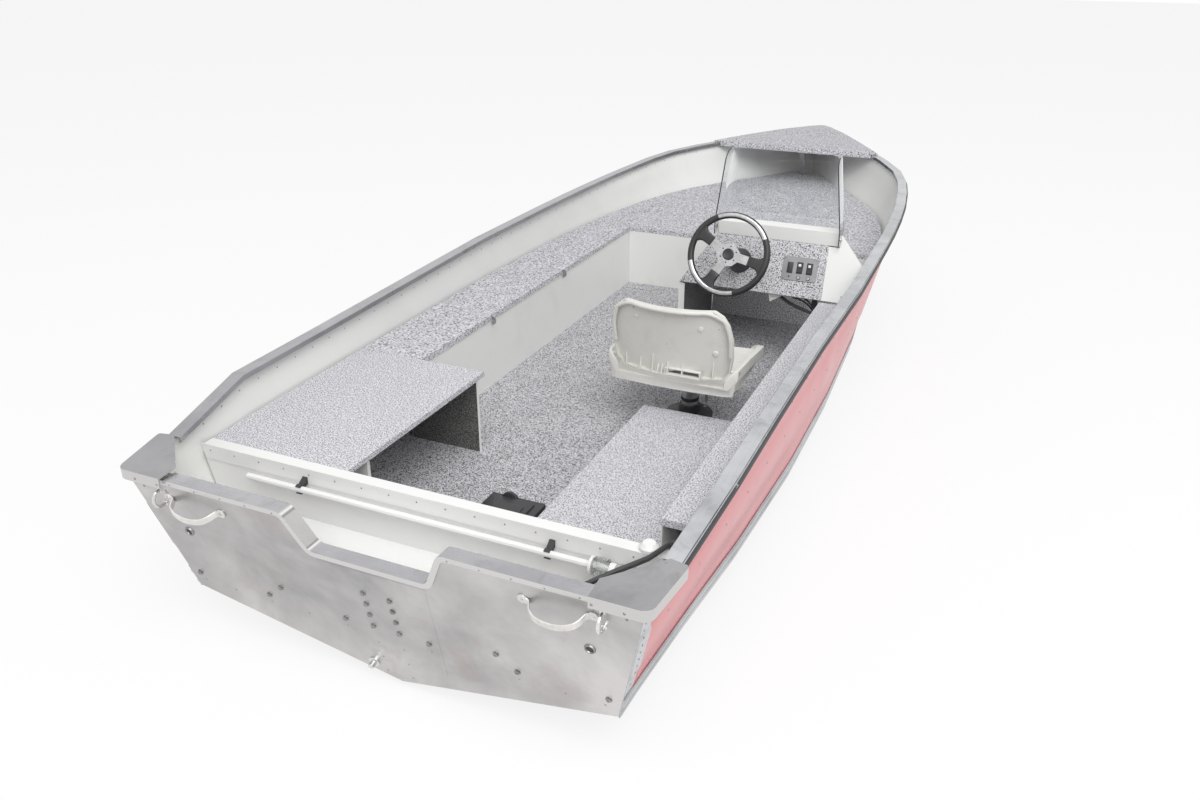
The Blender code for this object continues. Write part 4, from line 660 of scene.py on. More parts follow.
def build_materials(settings):
    flecks, mill, scuffs = fleck_group(), mill_group(), scuff_group()
    metal("plate_aluminium", mill, ((0.69, 0.67, 0.66), (0.345, 0.34, 0.345), (0.44, 0.375, 0.36)), 0.38,
          ALONG_X, 2.1, 0.12)
    metal("rolled_aluminium", mill, ROLLED, 0.30, ALONG_Y, 3.0, 0.16)
    metal("gunwale_aluminium", mill, ((0.62, 0.63, 0.65), (0.42, 0.43, 0.45), (0.27, 0.275, 0.29)), 0.27,
          (120.0, 1.0, 120.0), 4.0, 0.18)
    # A darker copy of the gunwale metal for the port gunwale: painted shade.
    metal("shaded_port_gunwale_metal", mill, ((0.46, 0.46, 0.475), (0.35, 0.35, 0.365), (0.27, 0.27, 0.28)), 0.28,
          (120.0, 1.0, 120.0), 4.0, 0.14)
    # The castings and the cap take a painted reflection on their sides and sloping faces.
    metal("cast_aluminium", mill, ((0.42, 0.415, 0.425), (0.33, 0.33, 0.34), (0.27, 0.265, 0.27)), 0.28,
          ANY_WAY, 4.0, 0.06, upright_painted_reflection=(0.62, 0.61, 0.60))
    metal("cap_aluminium", mill, ((0.52, 0.52, 0.54), (0.40, 0.40, 0.42), (0.32, 0.315, 0.325)), 0.26,
          (2.0, 200.0, 200.0), 5.0, 0.14, upright_painted_reflection=(0.66, 0.65, 0.645))
    metal("handle_aluminium", mill, ((0.80, 0.78, 0.76), (0.66, 0.64, 0.62), (0.50, 0.48, 0.46)), 0.42,
          ANY_WAY, 26.0, 0.08, 0.55)
    metal("wheel_aluminium", mill, ((0.60, 0.60, 0.605), (0.46, 0.46, 0.465), (0.38, 0.38, 0.385)), 0.24,
          ANY_WAY, 20.0, 0.08)
    metal("polished_steel", mill, ((0.80, 0.80, 0.80), (0.66, 0.66, 0.66), (0.55, 0.55, 0.55)), 0.18,
          ANY_WAY, 12.0, 0.05, 1.0)
    metal("rivet_metal", mill, ((0.40, 0.40, 0.40), (0.26, 0.26, 0.26), (0.14, 0.135, 0.13)), 0.35,
          ANY_WAY, 60.0, 0.05, 0.9)
    metal("grey_panel", mill, ((0.36, 0.36, 0.37), (0.28, 0.28, 0.29), (0.24, 0.24, 0.25)), 0.42,
          (260.0, 2.0, 2.0), 10.0, 0.12, 0.6)
    hull_enamel(scuffs, settings.side_colour, settings.inside_colour, (0.78, 0.46, 0.46))
    bottom_plate(mill, scuffs, settings.inside_colour)
    painted("well_enamel", scuffs, (0.84, 0.84, 0.828), (0.66, 0.655, 0.63), 0.42, 0.20, 3.0, 0.10)
    painted("white_enamel", scuffs, settings.inside_colour, (0.66, 0.65, 0.62), 0.42, 0.20, 3.0, 0.10)
    painted("seat_moulding", scuffs, settings.seat_colour, (0.56, 0.54, 0.49), 0.46, 0.24, 9.0, 0.0, 0.25)
    painted("white_moulding", scuffs, (0.82, 0.82, 0.80), (0.60, 0.58, 0.55), 0.38, 0.2, 12.0)
    vinyl("speckled_vinyl", flecks, (0.62, 0.615, 0.65), (0.17, 0.165, 0.19), 0.085, 0.12, 205.0)
    # A darker copy of the speckled vinyl, with coarser flecks, for the far decks: painted shade.
    vinyl("shaded_far_deck_vinyl", flecks, (0.52, 0.515, 0.55), (0.20, 0.195, 0.22), 0.075, 0.11, 120.0)
    vinyl("floor_vinyl", flecks, (0.46, 0.455, 0.48), (0.09, 0.09, 0.10), 0.095, 0.11, 195.0)
    vinyl("dash_vinyl", flecks, (0.60, 0.595, 0.62), (0.06, 0.06, 0.07), 0.085, 0.12, 205.0)
    # Speckled vinyl on the console front's inner face, paler than the floor's as painted light where it lies in shade.
    light_and_shade_lining_panel("front_vinyl_painted_light", flecks, settings.inside_colour, (0.82, 0.82, 0.85), "Y", -1.0, up(0.780))
    # Dark speckled faces on the cheek's starboard side and the forward leg's aft side: painted shade.
    light_and_shade_lining_panel("cheek_painted_shade", flecks, settings.inside_colour, (0.24, 0.24, 0.245), "X", 1.0, up(0.860))
    light_and_shade_lining_panel("leg_painted_shade", flecks, settings.inside_colour, (0.13, 0.13, 0.125), "Y", -1.0, up(0.600))
    clear_acrylic()
    leather("black_moulding", (0.022, 0.022, 0.024), 700.0, 0.46)
    leather("wheel_leather", (0.016, 0.016, 0.017), 1100.0, 0.42)
    leather("rub_rubber", (0.030, 0.030, 0.032), 500.0, 0.55)
    leather("dark_edge", (0.022, 0.024, 0.027), 400.0, 0.35)
    leather("shadow_gap", (0.10, 0.10, 0.095), 400.0, 0.7)


# Geometry node trees

def smooth_tree():
    """Welds a solid's loose triangles and shades it smooth between its real edges."""
    tree, takes, gives = new_tree("Geometry", "smooth_between_edges",
                                  (("Geometry", "Geometry"), ("Edge Angle", "Float")), (("Geometry", "Geometry"),))
    weld = add_node(tree, "GeometryNodeMergeByDistance", inputs={"Geometry": takes["Geometry"], "Distance": 2e-6})
    faces = add_node(tree, "GeometryNodeSetShadeSmooth", {"domain": "FACE"},
                     {"Geometry": weld.outputs["Geometry"], "Shade Smooth": True})
    angle = tree.nodes.new("GeometryNodeInputMeshEdgeAngle")
    sharp = add_node(tree, "FunctionNodeCompare", {"data_type": "FLOAT", "operation": "GREATER_THAN"})
    tree.links.new(angle.outputs["Unsigned Angle"], sharp.inputs["A"])
    tree.links.new(takes["Edge Angle"], sharp.inputs["B"])
    edges = add_node(tree, "GeometryNodeSetShadeSmooth", {"domain": "EDGE"},
                     {"Geometry": faces.outputs["Geometry"], "Selection": sharp.outputs["Result"],
                      "Shade Smooth": False})
    tree.links.new(edges.outputs["Geometry"], gives["Geometry"])
    return tree


def fastener_tree():
    """Sets a head on each point of a line, or at an even spacing along it, facing its "facing" attribute."""
    tree, takes, gives = new_tree("Geometry", "fasteners_on_lines",
                                  (("Geometry", "Geometry"), ("Head", "Object"), ("Spacing", "Float"),
                                   ("Even", "Bool"), ("Material", "Material")), (("Geometry", "Geometry"),))
    line = add_node(tree, "GeometryNodeMeshToCurve", inputs={"Mesh": takes["Geometry"]})
    even = add_node(tree, "GeometryNodeResampleCurve", {"mode": "LENGTH"},
                    {"Curve": line.outputs["Curve"], "Length": takes["Spacing"]})
    choice = add_node(tree, "GeometryNodeSwitch", {"input_type": "GEOMETRY"},
                      {"Switch": takes["Even"], "False": takes["Geometry"], "True": even.outputs["Curve"]})
    facing = add_node(tree, "GeometryNodeInputNamedAttribute", {"data_type": "FLOAT_VECTOR"}, {"Name": "facing"})
    turn = add_node(tree, "FunctionNodeAlignRotationToVector", {"axis": "Z"},
                    {"Vector": facing.outputs["Attribute"]})
    head = add_node(tree, "GeometryNodeObjectInfo", inputs={"Object": takes["Head"], "As Instance": True})
    heads = add_node(tree, "GeometryNodeInstanceOnPoints",
                     inputs={"Points": choice.outputs["Output"], "Instance": head.outputs["Geometry"],
                             "Rotation": turn.outputs["Rotation"]})
    real = add_node(tree, "GeometryNodeRealizeInstances", inputs={"Geometry": heads.outputs["Instances"]})
    dressed = add_node(tree, "GeometryNodeSetMaterial",
                       inputs={"Geometry": real.outputs["Geometry"], "Material": takes["Material"]})
    tree.links.new(dressed.outputs["Geometry"], gives["Geometry"])
    return tree


def set_inputs(modifier, values):
    """Sets a geometry modifier's inputs by their sockets' identifiers."""
    for item in modifier.node_group.interface.items_tree:
        if item.item_type == "SOCKET" and item.in_out == "INPUT" and item.name in values:
            modifier[item.identifier] = values[item.name]


def dome(radius, rise):
    """A rivet's round head."""
    steps = 4
    profile = [(radius, SUNK)]
    profile += [(radius * math.cos(math.pi / 2 * k / steps), rise * math.sin(math.pi / 2 * k / steps))
                for k in range(steps)]
    return turned_mesh([(0, SUNK), *profile, (0, rise)], 12)


def hex_bolt(radius, rise):
    """A six-sided head on a washer, with a dished top."""
    bm = turned_mesh(((0, SUNK), (1.45 * radius, SUNK), (1.45 * radius, 0.0012), (0, 0.0012)), 20)
    rings = []
    for z, share in ((0.0010, 1.0), (0.85 * rise, 1.0), (rise, 0.88), (rise, 0.5), (0.8 * rise, 0.42)):
        rings.append([(share * radius * math.cos(math.pi * k / 3), share * radius * math.sin(math.pi * k / 3), z)
                      for k in range(6)])
    return loft_mesh(rings, bm=bm)


def pan_screw(radius, rise):
    """A low round head with a cross recess."""
    bm = turned_mesh(((0, SUNK), (radius, SUNK), (radius, 0.4 * rise), (0.8 * radius, 0.85 * rise),
                      (0.45 * radius, rise), (0, rise)), 16)
    arm, wide = 0.62 * radius, 0.12 * radius
    for across in (0, 1):
        size = (arm, wide) if across else (wide, arm)
        box_mesh((-size[0], -size[1], rise - 0.0002), (size[0], size[1], rise + 0.00025), bm)
    return bm


def washer(radius, rise):
    return turned_mesh(((0, SUNK), (radius, SUNK), (radius, 0.7 * rise), (0.86 * radius, rise), (0, rise)), 20)


def ring_head(radius, rise):
    """A through-hull fitting: a flared ring round a dark bore."""
    bore = 0.62 * radius
    return turned_mesh(((0, SUNK), (radius, SUNK), (radius, 0.3 * rise), (0.86 * radius, rise),
                        (0.72 * radius, 0.9 * rise), (bore, 0.1 * rise), (0, 0.05 * rise)), 28)


HEADS = {
    # name: maker, radius, rise
    "rivet": (dome, 0.0042, 0.0020),
    "small_rivet": (dome, 0.0030, 0.0014),
    "strip_rivet": (dome, 0.0034, 0.0016),
    "bolt": (hex_bolt, 0.0072, 0.0062),
    "small_bolt": (hex_bolt, 0.0040, 0.0034),
    "screw": (pan_screw, 0.0052, 0.0022),
    "ring": (ring_head, 0.0170, 0.0045),
    "hub_screw": (pan_screw, 0.0034, 0.0018),
    "washer": (washer, 0.0085, 0.0022),
}


STEEL = {"material": "polished_steel", "slot": "polished_steel"}


def fasten(name, head, rows, body="hull", material="rivet_metal", slot="mill_aluminium", spacing=None):
    """Sets heads at every point of the rows of (place, normal), or at a spacing along each row."""
    maker, radius, rise = HEADS[head]
    sample = link_mesh(f"{name}_head", maker(radius, rise), None, 40.0)
    mesh = bpy.data.meshes.new(name)
    points = [tuple(place) for row in rows for place, _ in row]
    edges = []
    first = 0
    for row in rows:
        edges += [(first + i, first + i + 1) for i in range(len(row) - 1)]
        first += len(row)
    mesh.from_pydata(points, edges if spacing else [], [])
    facing = mesh.attributes.new("facing", "FLOAT_VECTOR", "POINT")
    facing.data.foreach_set("vector", np.array([tuple(n) for row in rows for _, n in row], np.float32).ravel())
    obj = bpy.data.objects.new(name, mesh)
    bpy.context.scene.collection.objects.link(obj)
    modifier = obj.modifiers.new("fasteners", "NODES")
    modifier.node_group = bpy.data.node_groups.get("fasteners_on_lines") or fastener_tree()
    set_inputs(modifier, {"Head": sample, "Spacing": float(spacing or 1.0), "Even": bool(spacing),
                          "Material": MATERIALS[material]})
    graph = bpy.context.evaluated_depsgraph_get()
    plain = bpy.data.meshes.new_from_object(obj.evaluated_get(graph))
    obj.modifiers.clear()
    obj.data = plain
    plain.name = name
    if "facing" in plain.attributes:
        plain.attributes.remove(plain.attributes["facing"])
    bpy.data.objects.remove(sample, do_unlink=True)
    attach(obj, body)


# Settings

class HullSettings(bpy.types.PropertyGroup):
    side_colour: FloatVectorProperty(name="Side", description="Enamel of the hull's sides", subtype="COLOR",
                                     default=(0.645, 0.182, 0.200), min=0, max=1)
    inside_colour: FloatVectorProperty(name="Inside", description="Enamel of the inside and the console",
                                       subtype="COLOR", default=(0.84, 0.84, 0.82), min=0, max=1)
    seat_colour: FloatVectorProperty(name="Seat", description="Moulded seat", subtype="COLOR",
                                     default=(0.74, 0.73, 0.69), min=0, max=1)
    rivet_spacing: FloatProperty(name="Rivet spacing", description="Between the rivets along a seam",
                                 unit="LENGTH", default=0.045, min=0.01)
    rib_spacing: FloatProperty(name="Rib spacing", description="Between the side's rib rivets",
                               unit="LENGTH", default=0.205, min=0.05)


class StageSettings(bpy.types.PropertyGroup):
    key_power: FloatProperty(name="Key power", description="Large lamp above the starboard quarter",
                             unit="POWER", default=1050.0, min=0)
    sky: FloatProperty(name="Sky", description="Strength of the even light all round", default=0.60, min=0)
    sweep: FloatProperty(name="Floor size", description="Half the floor's width", unit="LENGTH",
                         default=40.0, min=5)


# Solids whose long edges are folded, cast or wrapped, and the width of their rounding
EASED = {
    "port_bench": 0.005, "port_shelf": 0.004, "casting_deck": 0.004, "starboard_shelf": 0.005,
    "aft_platform": 0.004, "dash_panel": 0.003, "bow_plate": 0.003, "corner_casting_port": 0.006,
    "corner_casting_starboard": 0.006, "bow_cap": 0.003, "seat_pan": 0.0018, "seat_back": 0.0018,
    "switch_panel": 0.001, "battery_tray": 0.004, "console_front": 0.002,
}


class FinishOperator(bpy.types.Operator):
    """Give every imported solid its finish"""
    bl_idname = "boat.finish"
    bl_label = "Finishes"

    def execute(self, context):
        build_materials(context.scene.boat_hull)
        tree = smooth_tree()
        for name, nodes in FINISHES:
            for node in nodes:
                obj = NODES[node]
                obj.data.materials.clear()
                obj.data.materials.append(MATERIALS[name])
                for polygon in obj.data.polygons:
                    polygon.material_index = 0
                modifier = obj.modifiers.new("smooth", "NODES")
                modifier.node_group = tree
                set_inputs(modifier, {"Edge Angle": EDGE_ANGLE})
                if node in EASED:
                    ease_edges(obj, EASED[node])
        return {"FINISHED"}


def side_line(skin, side, share, start, stop, steps, from_inside=False):
    """Places on a hull side at this share of its height, in even steps along Y from start to stop."""
    row = []
    for k in range(steps + 1):
        y = start + (stop - start) * k / steps
        levels = skin.slice(y)[:, 1]
        z = levels.min() + (levels.max() - levels.min()) * share
        row.append(skin.hit((0 if from_inside else side * 2.0, y, z), (side if from_inside else -side, 0, 0)))
    return row


# Rivet lines along the hull: first and last Y, and the steps between them
RIB_LINE, SEAM_LINE, INSIDE_LINE = (0.10, 4.95, 48), (0.02, 5.30, 88), (0.20, 4.50, 49)
RIB_SHARES, SEAM_SHARE, INSIDE_SHARE = (0.60, 0.84), 0.50, 0.90      # of the plate's own height
TRIM_ENDS, TRIM_LEVEL, TRIM_SPACING = (-0.806, 0.80), 0.5585, 0.0972
# The angle at the transom's ends: height of its foot over the bottom plates, its own height, its thickness, how deep
# its hidden faces lie in the plates, and how far from its aft edge its rivets are
STRIP_FOOT, STRIP_TALL, STRIP_THICK, STRIP_SUNK, STRIP_RIVETS = 0.206, 0.380, 0.0012, 0.0008, 0.026
STRIP_WIDE, STRIP_FLARE = 0.058, 0.016       # along the side plate, at its foot and added at its top


class RivetOperator(bpy.types.Operator):
    """Rivet the hull's seams and ribs"""
    bl_idname = "boat.rivets"
    bl_label = "Rivets"

    def execute(self, context):
        settings = context.scene.boat_hull
        ribs, seams, inside = [], [], []
        for word, side in SIDES:
            skin = Skin(f"hull_side_{word}")
            ribs += [side_line(skin, side, share, *RIB_LINE) for share in RIB_SHARES]
            seams.append(side_line(Skin(f"chine_rail_{word}"), side, SEAM_SHARE, *SEAM_LINE))
            inside.append(side_line(skin, side, INSIDE_SHARE, *INSIDE_LINE, from_inside=True))
        fasten("side_rivets", "rivet", ribs, spacing=settings.rib_spacing)
        fasten("chine_rivets", "small_rivet", seams, spacing=settings.rivet_spacing * 2)
        fasten("inside_rivets", "small_rivet", inside, spacing=0.10)
        strips = [self.corner_strip(word, side) for word, side in SIDES]
        fasten("transom_edge_rivets", "strip_rivet", strips, spacing=0.030)
        trim = Skin("splashwell_trim")
        row = [trim.hit((x, -0.02, up(TRIM_LEVEL)), (0, 1, 0)) for x in TRIM_ENDS]
        fasten("splashwell_rivets", "small_rivet", [row], spacing=TRIM_SPACING)
        return {"FINISHED"}

    @staticmethod
    def corner_strip(word, side):
        """The bright angle that laps the transom's end and the side plate, and the line for its rivets."""
        edge = Skin("transom", f"hull_side_{word}")
        rings, row, count = [], [], 40
        thick, sunk = side * STRIP_THICK, -side * STRIP_SUNK
        for k in range(count):
            z = up(STRIP_FOOT + STRIP_TALL * k / (count - 1))
            face = -(z + WATERLINE) * math.tan(TRANSOM_RAKE)
            aft, seam = face + STRIP_THICK, face + TRANSOM_THICK
            fore = face + STRIP_WIDE + STRIP_FLARE * k / (count - 1)
            end, near, far = (edge.hit((side * 2.0, y, z), (-side, 0, 0))[0].x for y in (aft, seam + 0.002, fore))
            slope = (far - near) / (fore - seam - 0.002)
            flush = [(near + slope * (y - seam - 0.002), y) for y in (aft, seam, fore)]
            ring = [(x + thick, y) for x, y in flush]
            ring += [(flush[2][0] + sunk, fore), (flush[1][0] + sunk, seam + 0.001), (end + sunk, seam - 0.001),
                     (end + sunk, aft)]
            rings.append([(x, y, z) for x, y in ring])
            place = (flush[0][0] + slope * STRIP_RIVETS + thick, aft + STRIP_RIVETS, z)
            row.append((Vector(place), Vector((side, 0, 0))))
        piece(f"corner_strip_{word}", loft_mesh(rings), "gunwale_aluminium", "mill_aluminium")
        return row


# Transom fasteners, (x, height over the bottom plates), each on both sides of the boat
TRANSOM_BOLTS = ((0.046, 0.373), (0.046, 0.329), (0.046, 0.283), (0.046, 0.235), (0.148, 0.230), (0.439, 0.229),
                 (0.378, 0.280), (0.719, 0.2335))
TRANSOM_SCREWS = ((0.0455, 0.163), (0.0455, 0.098), (0.0455, 0.033), (0.150, 0.197), (0.295, 0.197), (0.440, 0.197),
                  (0.585, 0.199), (0.706, 0.204))
CAP_RIVETS = ((0.290, 0.6125), (0.388, 0.6125), (0.481, 0.6125), (0.577, 0.6125), (0.675, 0.6125))
CASTING_RIVETS = ((0.712, 0.612), (0.800, 0.612))
CORNER_RIVETS = ((0.707, 0.580), (0.797, 0.575))
HULL_RINGS = ((0.682, 0.423),)
# Screws seen from above, (x, y): on the castings and the bow plate, and along the shelf
CASTING_SCREWS = ((0.716, -0.118), (0.836, 0.037), (0.880, 0.008))
BOW_SCREWS = ((0.50, 4.70), (0.30, 5.02), (0.12, 5.30))
SHELF_SCREWS = [(0.806, 0.396 + 0.2515 * k) for k in range(8)]


class BoltOperator(bpy.types.Operator):
    """Fasten the transom, the castings and the shelves"""
    bl_idname = "boat.bolts"
    bl_label = "Bolts and screws"

    def execute(self, context):
        sets = (
            ("transom_bolts", "bolt", TRANSOM_BOLTS, ("transom",)),
            ("transom_screws", "small_rivet", TRANSOM_SCREWS, ("transom",)),
            ("cap_rivets", "small_rivet", CAP_RIVETS, ("transom_cap",)),
            ("casting_rivets", "rivet", CASTING_RIVETS, ("corner_casting_port", "corner_casting_starboard")),
            ("corner_rivets", "rivet", CORNER_RIVETS, ("transom",)),
            ("through_hulls", "ring", HULL_RINGS, ("transom",)),
        )
        rows = {}
        for name, head, places, nodes in sets:
            skin = Skin(*nodes)
            rows[name] = [skin.hit((side * x, -1.0, up(z)), (0, 1, 0)) for x, z in places for side in (-1, 1)]
            fasten(name, head, [rows[name]])
        bm = bmesh.new()
        for found in rows["through_hulls"]:
            turned_mesh(((0, 0.0), (0.0105, 0.0), (0.0105, 0.0012), (0, 0.0012)), 24, bm, facing_matrix(*found))
        piece("through_hull_bores", bm, "black_moulding", "black_plastic")
        over, down = up(1.2), (0, 0, -1)
        corners = [Skin(f"corner_casting_{word}").hit((side * x, y, over), down)
                   for word, side in SIDES for x, y in CASTING_SCREWS]
        fasten("casting_top_rivets", "small_rivet", [corners])
        shelf, bow = Skin("starboard_shelf"), Skin("bow_plate")
        fasten("shelf_screws", "screw", [[shelf.hit((x, y, over), down) for x, y in SHELF_SCREWS]], **STEEL)
        fasten("bow_plate_screws", "screw",
               [[bow.hit((side * x, y, over), down) for side in (-1, 1) for x, y in BOW_SCREWS]], **STEEL)
        return {"FINISHED"}


class StripOperator(bpy.types.Operator):
    """Press the dark rub strips into the gunwales"""
    bl_idname = "boat.rub_strip"
    bl_label = "Rub strips"

    def execute(self, context):
        for word, side in SIDES:
            skin = Skin(f"gunwale_{word}")
            rings = []
            low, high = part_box(f"gunwale_{word}")
            count = 110
            for k in range(count + 1):
                y = low.y + 0.004 + (high.y - low.y - 0.010) * k / count
                part = skin.slice(y)
                out = np.abs(part[:, 0]).max()
                top = part[:, 1].max()
                ring = ((out - 0.004, top - 0.0105), (out + 0.0002, top - 0.0135), (out + 0.0012, top - 0.018),
                        (out + 0.0012, top - 0.027), (out + 0.0002, top - 0.031), (out - 0.004, top - 0.034),
                        (out - 0.006, top - 0.022))
                rings.append([(side * x, y, z) for x, z in ring])
            piece(f"rub_strip_{word}", loft_mesh(rings), "rub_rubber", "black_plastic", crease=50.0)
        return {"FINISHED"}


# Windshield: plan of the bent sheet, and its heights over the bottom plates
GLASS_LEFT, GLASS_RIGHT = 0.1634, 0.7543
GLASS_AFT, GLASS_FRONT = 2.470, 2.606
GLASS_THICK, GLASS_TAPER, GLASS_LEAN = 0.004, 0.040, 0.010
GLASS_TOP, GLASS_TAB, GLASS_TAB_FOOT = 1.205, 0.062, 0.814
GLASS_BEND_RADIUS, GLASS_CORNER = 0.045, 0.050
COWL_CREST, COWL_EDGE, COWL_FOOT, COWL_FRONT = 0.878, 2.560, 0.600, 2.960


def cowl_level(y):
    """The height of the console's top, which slopes down forward of its crest."""
    share = max(0.0, (y - COWL_EDGE) / (COWL_FRONT - COWL_EDGE))
    return COWL_CREST + (COWL_FOOT - COWL_CREST) * share


def glass_plan(t, wall):
    """The sheet's line seen from above, from the port free edge round to the starboard one."""
    left, right = GLASS_LEFT + GLASS_TAPER * t + wall, GLASS_RIGHT - GLASS_TAPER * t - wall
    far = GLASS_FRONT - GLASS_LEAN * t - wall
    side = [0.0, 0.0015, 0.005, 0.010, 0.017, 0.026, 0.037, GLASS_CORNER, GLASS_TAB, GLASS_TAB + 0.008]
    radius = GLASS_BEND_RADIUS - wall
    port = arc_corner((left, GLASS_AFT, 0), (left, far, 0), (right, far, 0), radius, 6)
    starboard = arc_corner((left, far, 0), (right, far, 0), (right, GLASS_AFT, 0), radius, 6)
    plan = [(left, GLASS_AFT + d) for d in side] + [(x, y) for x, y, _ in port + starboard]
    return plan + [(right, GLASS_AFT + d) for d in reversed(side)]


def glass_column(index, wall, rows=7):
    """Points up the sheet at one place along its line; the top falls away at the free edges."""
    foot_plan, top_plan = glass_plan(0.0, wall)[index], glass_plan(1.0, wall)[index]
    y = foot_plan[1]
    foot = GLASS_TAB_FOOT if y <= GLASS_AFT + GLASS_TAB + 1e-6 else cowl_level(y) + 0.0003
    bend = cowl_level(y) + GLASS_THICK
    near = min(GLASS_CORNER, top_plan[1] - GLASS_AFT)
    drop = GLASS_CORNER - math.sqrt(max(0.0, GLASS_CORNER ** 2 - (GLASS_CORNER - near) ** 2))
    top = GLASS_TOP - drop
    made = [(foot_plan[0], foot_plan[1], up(foot))]
    for row in range(rows + 1):
        z = bend + (top - bend) * row / rows
        t = (z - bend) / (GLASS_TOP - bend)
        x, y = (a + (b - a) * t for a, b in zip(foot_plan, top_plan))
        made.append((x, y, up(z)))
    return made


class WindshieldOperator(bpy.types.Operator):
    """Bend the windshield's clear sheet, with its dark cut edges and its bolts"""
    bl_idname = "boat.windshield"
    bl_label = "Windshield"

    def execute(self, context):
        count = len(glass_plan(0.0, 0.0))
        outer = [glass_column(i, 0.0) for i in range(count)]
        inner = [glass_column(i, GLASS_THICK) for i in range(count)]
        rings = [a + b[::-1] for a, b in zip(outer, inner)]
        piece("windshield_sheet", loft_mesh(rings), "clear_acrylic", "clear_acrylic", "windshield", crease=40.0)
        bm = bmesh.new()
        section = round_section(0.0027, 6)
        for first, step in ((0, 1), (count - 1, -1)):
            line = [(Vector(a) + Vector(b)) / 2 for a, b in zip(outer[first], inner[first])]
            line += [(Vector(outer[first + step * k][-1]) + Vector(inner[first + step * k][-1])) / 2
                     for k in range(1, 9)]
            line = [point + Vector((0, -0.0014, 0)) for point in line]
            along_path(line, section, (1, 0, 0), bm)
        piece("windshield_edge", bm, "dark_edge", "black_plastic", crease=50.0)
        bolts = []
        for x, way in ((GLASS_LEFT - 0.0001, -1), (GLASS_RIGHT + 0.0001, 1)):
            bolts.append((Vector((x, GLASS_AFT + 0.030, up(0.842))), Vector((way, 0, 0))))
        fasten("windshield_bolts", "bolt", [bolts], **STEEL)
        return {"FINISHED"}


# Wheel: angles round the rim in degrees, from starboard, anticlockwise as the driver sees it
WHEEL_RADIUS, WHEEL_TUBE = 0.178, 0.015
SPOKES = (150.0, -12.0, -118.0)
INLAYS = ((28.0, 114.0), (196.0, 286.0))
INLAY_HALF = math.radians(33.0)
# A spoke's cover from the hub outward: reach, half-breadth, half-thickness
GRIP = ((0.098, 0.0215, 0.0055), (0.101, 0.0235, 0.0080), (0.120, 0.0235, 0.0090), (0.140, 0.0250, 0.0100),
        (0.154, 0.0310, 0.0105), (0.165, 0.0430, 0.0105), (0.173, 0.0530, 0.0095))


class WheelOperator(bpy.types.Operator):
    """Cover the wheel's rim and spokes and lay in its bright arcs"""
    bl_idname = "boat.wheel"
    bl_label = "Steering wheel"

    def execute(self, context):
        place = sloped(WHEEL_CENTRE)
        turns, rolls = ([math.radians(360.0 * i / count) for i in range(count)] for count in (96, 16))
        rings = placed([[self.on_rim(turn, roll, WHEEL_TUBE) for roll in rolls] for turn in turns], place)
        piece("rim_cover", loft_mesh(rings, closed=True), "wheel_leather", "black_plastic", "wheel_rim",
              body="steering_wheel", crease=60.0)
        bm = bmesh.new()
        for start, stop in INLAYS:
            steps = int(abs(stop - start) / 3)
            rings = []
            for i in range(steps + 1):
                turn = math.radians(start + (stop - start) * i / steps)
                rolls = [math.radians(90.0) - INLAY_HALF + 2 * INLAY_HALF * j / 8 for j in range(9)]
                rings.append([self.on_rim(turn, roll, WHEEL_TUBE + 0.0006) for roll in rolls]
                             + [self.on_rim(turn, roll, WHEEL_TUBE - 0.0015) for roll in reversed(rolls)])
            loft_mesh(placed(rings, place), bm=bm)
        piece("rim_inlays", bm, "wheel_aluminium", "polished_steel", body="steering_wheel", crease=40.0)
        bm = bmesh.new()
        for spoke in SPOKES:
            rings = []
            for reach, half, thick in GRIP:
                outline = ((-half, -thick, 0), (half, -thick, 0), (half, thick, 0), (-half, thick, 0))
                ring = rounded(outline, (0.8 * thick,) * 4, 4)
                bow = WHEEL_RADIUS - math.sqrt(WHEEL_RADIUS ** 2 - half ** 2)
                rings.append([(reach - bow * (a / half) ** 2, a, b) for a, b, _ in ring])
            loft_mesh(placed(rings, place @ Matrix.Rotation(math.radians(spoke), 4, "Z")), bm=bm)
        piece("spoke_grips", bm, "wheel_leather", "black_plastic", body="steering_wheel", crease=40.0)
        out, skin = place.to_3x3() @ Vector((0, 0, 1)), Skin("wheel_spider")
        spots = [skin.hit(place @ Vector((0.0375 * math.cos(a), 0.0375 * math.sin(a), 0.1)), -out)
                 for a in (math.radians(20 + 60 * k) for k in range(6))]
        fasten("hub_screws", "hub_screw", [spots], body="steering_wheel", material="black_moulding")
        ring = turned_mesh(((0, 0.0130), (0.0235, 0.0130), (0.0235, 0.0146), (0.0205, 0.0150), (0.0190, 0.0142),
                            (0, 0.0142)), 40, place=place)
        piece("hub_ring", ring, "black_moulding", "black_plastic", body="steering_wheel")
        return {"FINISHED"}

    @staticmethod
    def on_rim(turn, roll, tube):
        reach = WHEEL_RADIUS + tube * math.cos(roll)
        return Vector((reach * math.cos(turn), reach * math.sin(turn), tube * math.sin(roll)))


# Switch panel on the dash: (across, up the dash)
PANEL_LOW, PANEL_HIGH, PANEL_FRONT = (0.510, 0.075), (0.672, 0.185), 0.0043
PANEL_CORNERS = ((0.05, 0.93), (0.95, 0.93), (0.95, 0.07), (0.05, 0.07))
# A rocker from its foot to its head: share of half its height, and how far it stands out of the panel
ROCKER = ((-1, 0.0040), (-0.9, 0.0062), (0.0, 0.0052), (0.9, 0.0098), (1, 0.0080))
# Pixels of the photograph's frame, and how far forward of the dash's foot the pieces under it lie
DASH_SCREWS = ((684.3, 277.0), (827.1, 249.8), (841.1, 297.1), (720.0, 236.0), (821.5, 250.5))
BRACKET_CORNERS = ((767.5, 293.0), (788.0, 293.0), (769.5, 301.5))
LEAD_LINE = ((784, 291), (792, 296.5), (800, 299.5), (807, 304), (813, 311), (818, 319))
LEAD_CLAMP = (814.5, 303.5)
BRACKET_DEEP, LEAD_DEEP, CLAMP_DEEP = 0.030, 0.050, 0.042


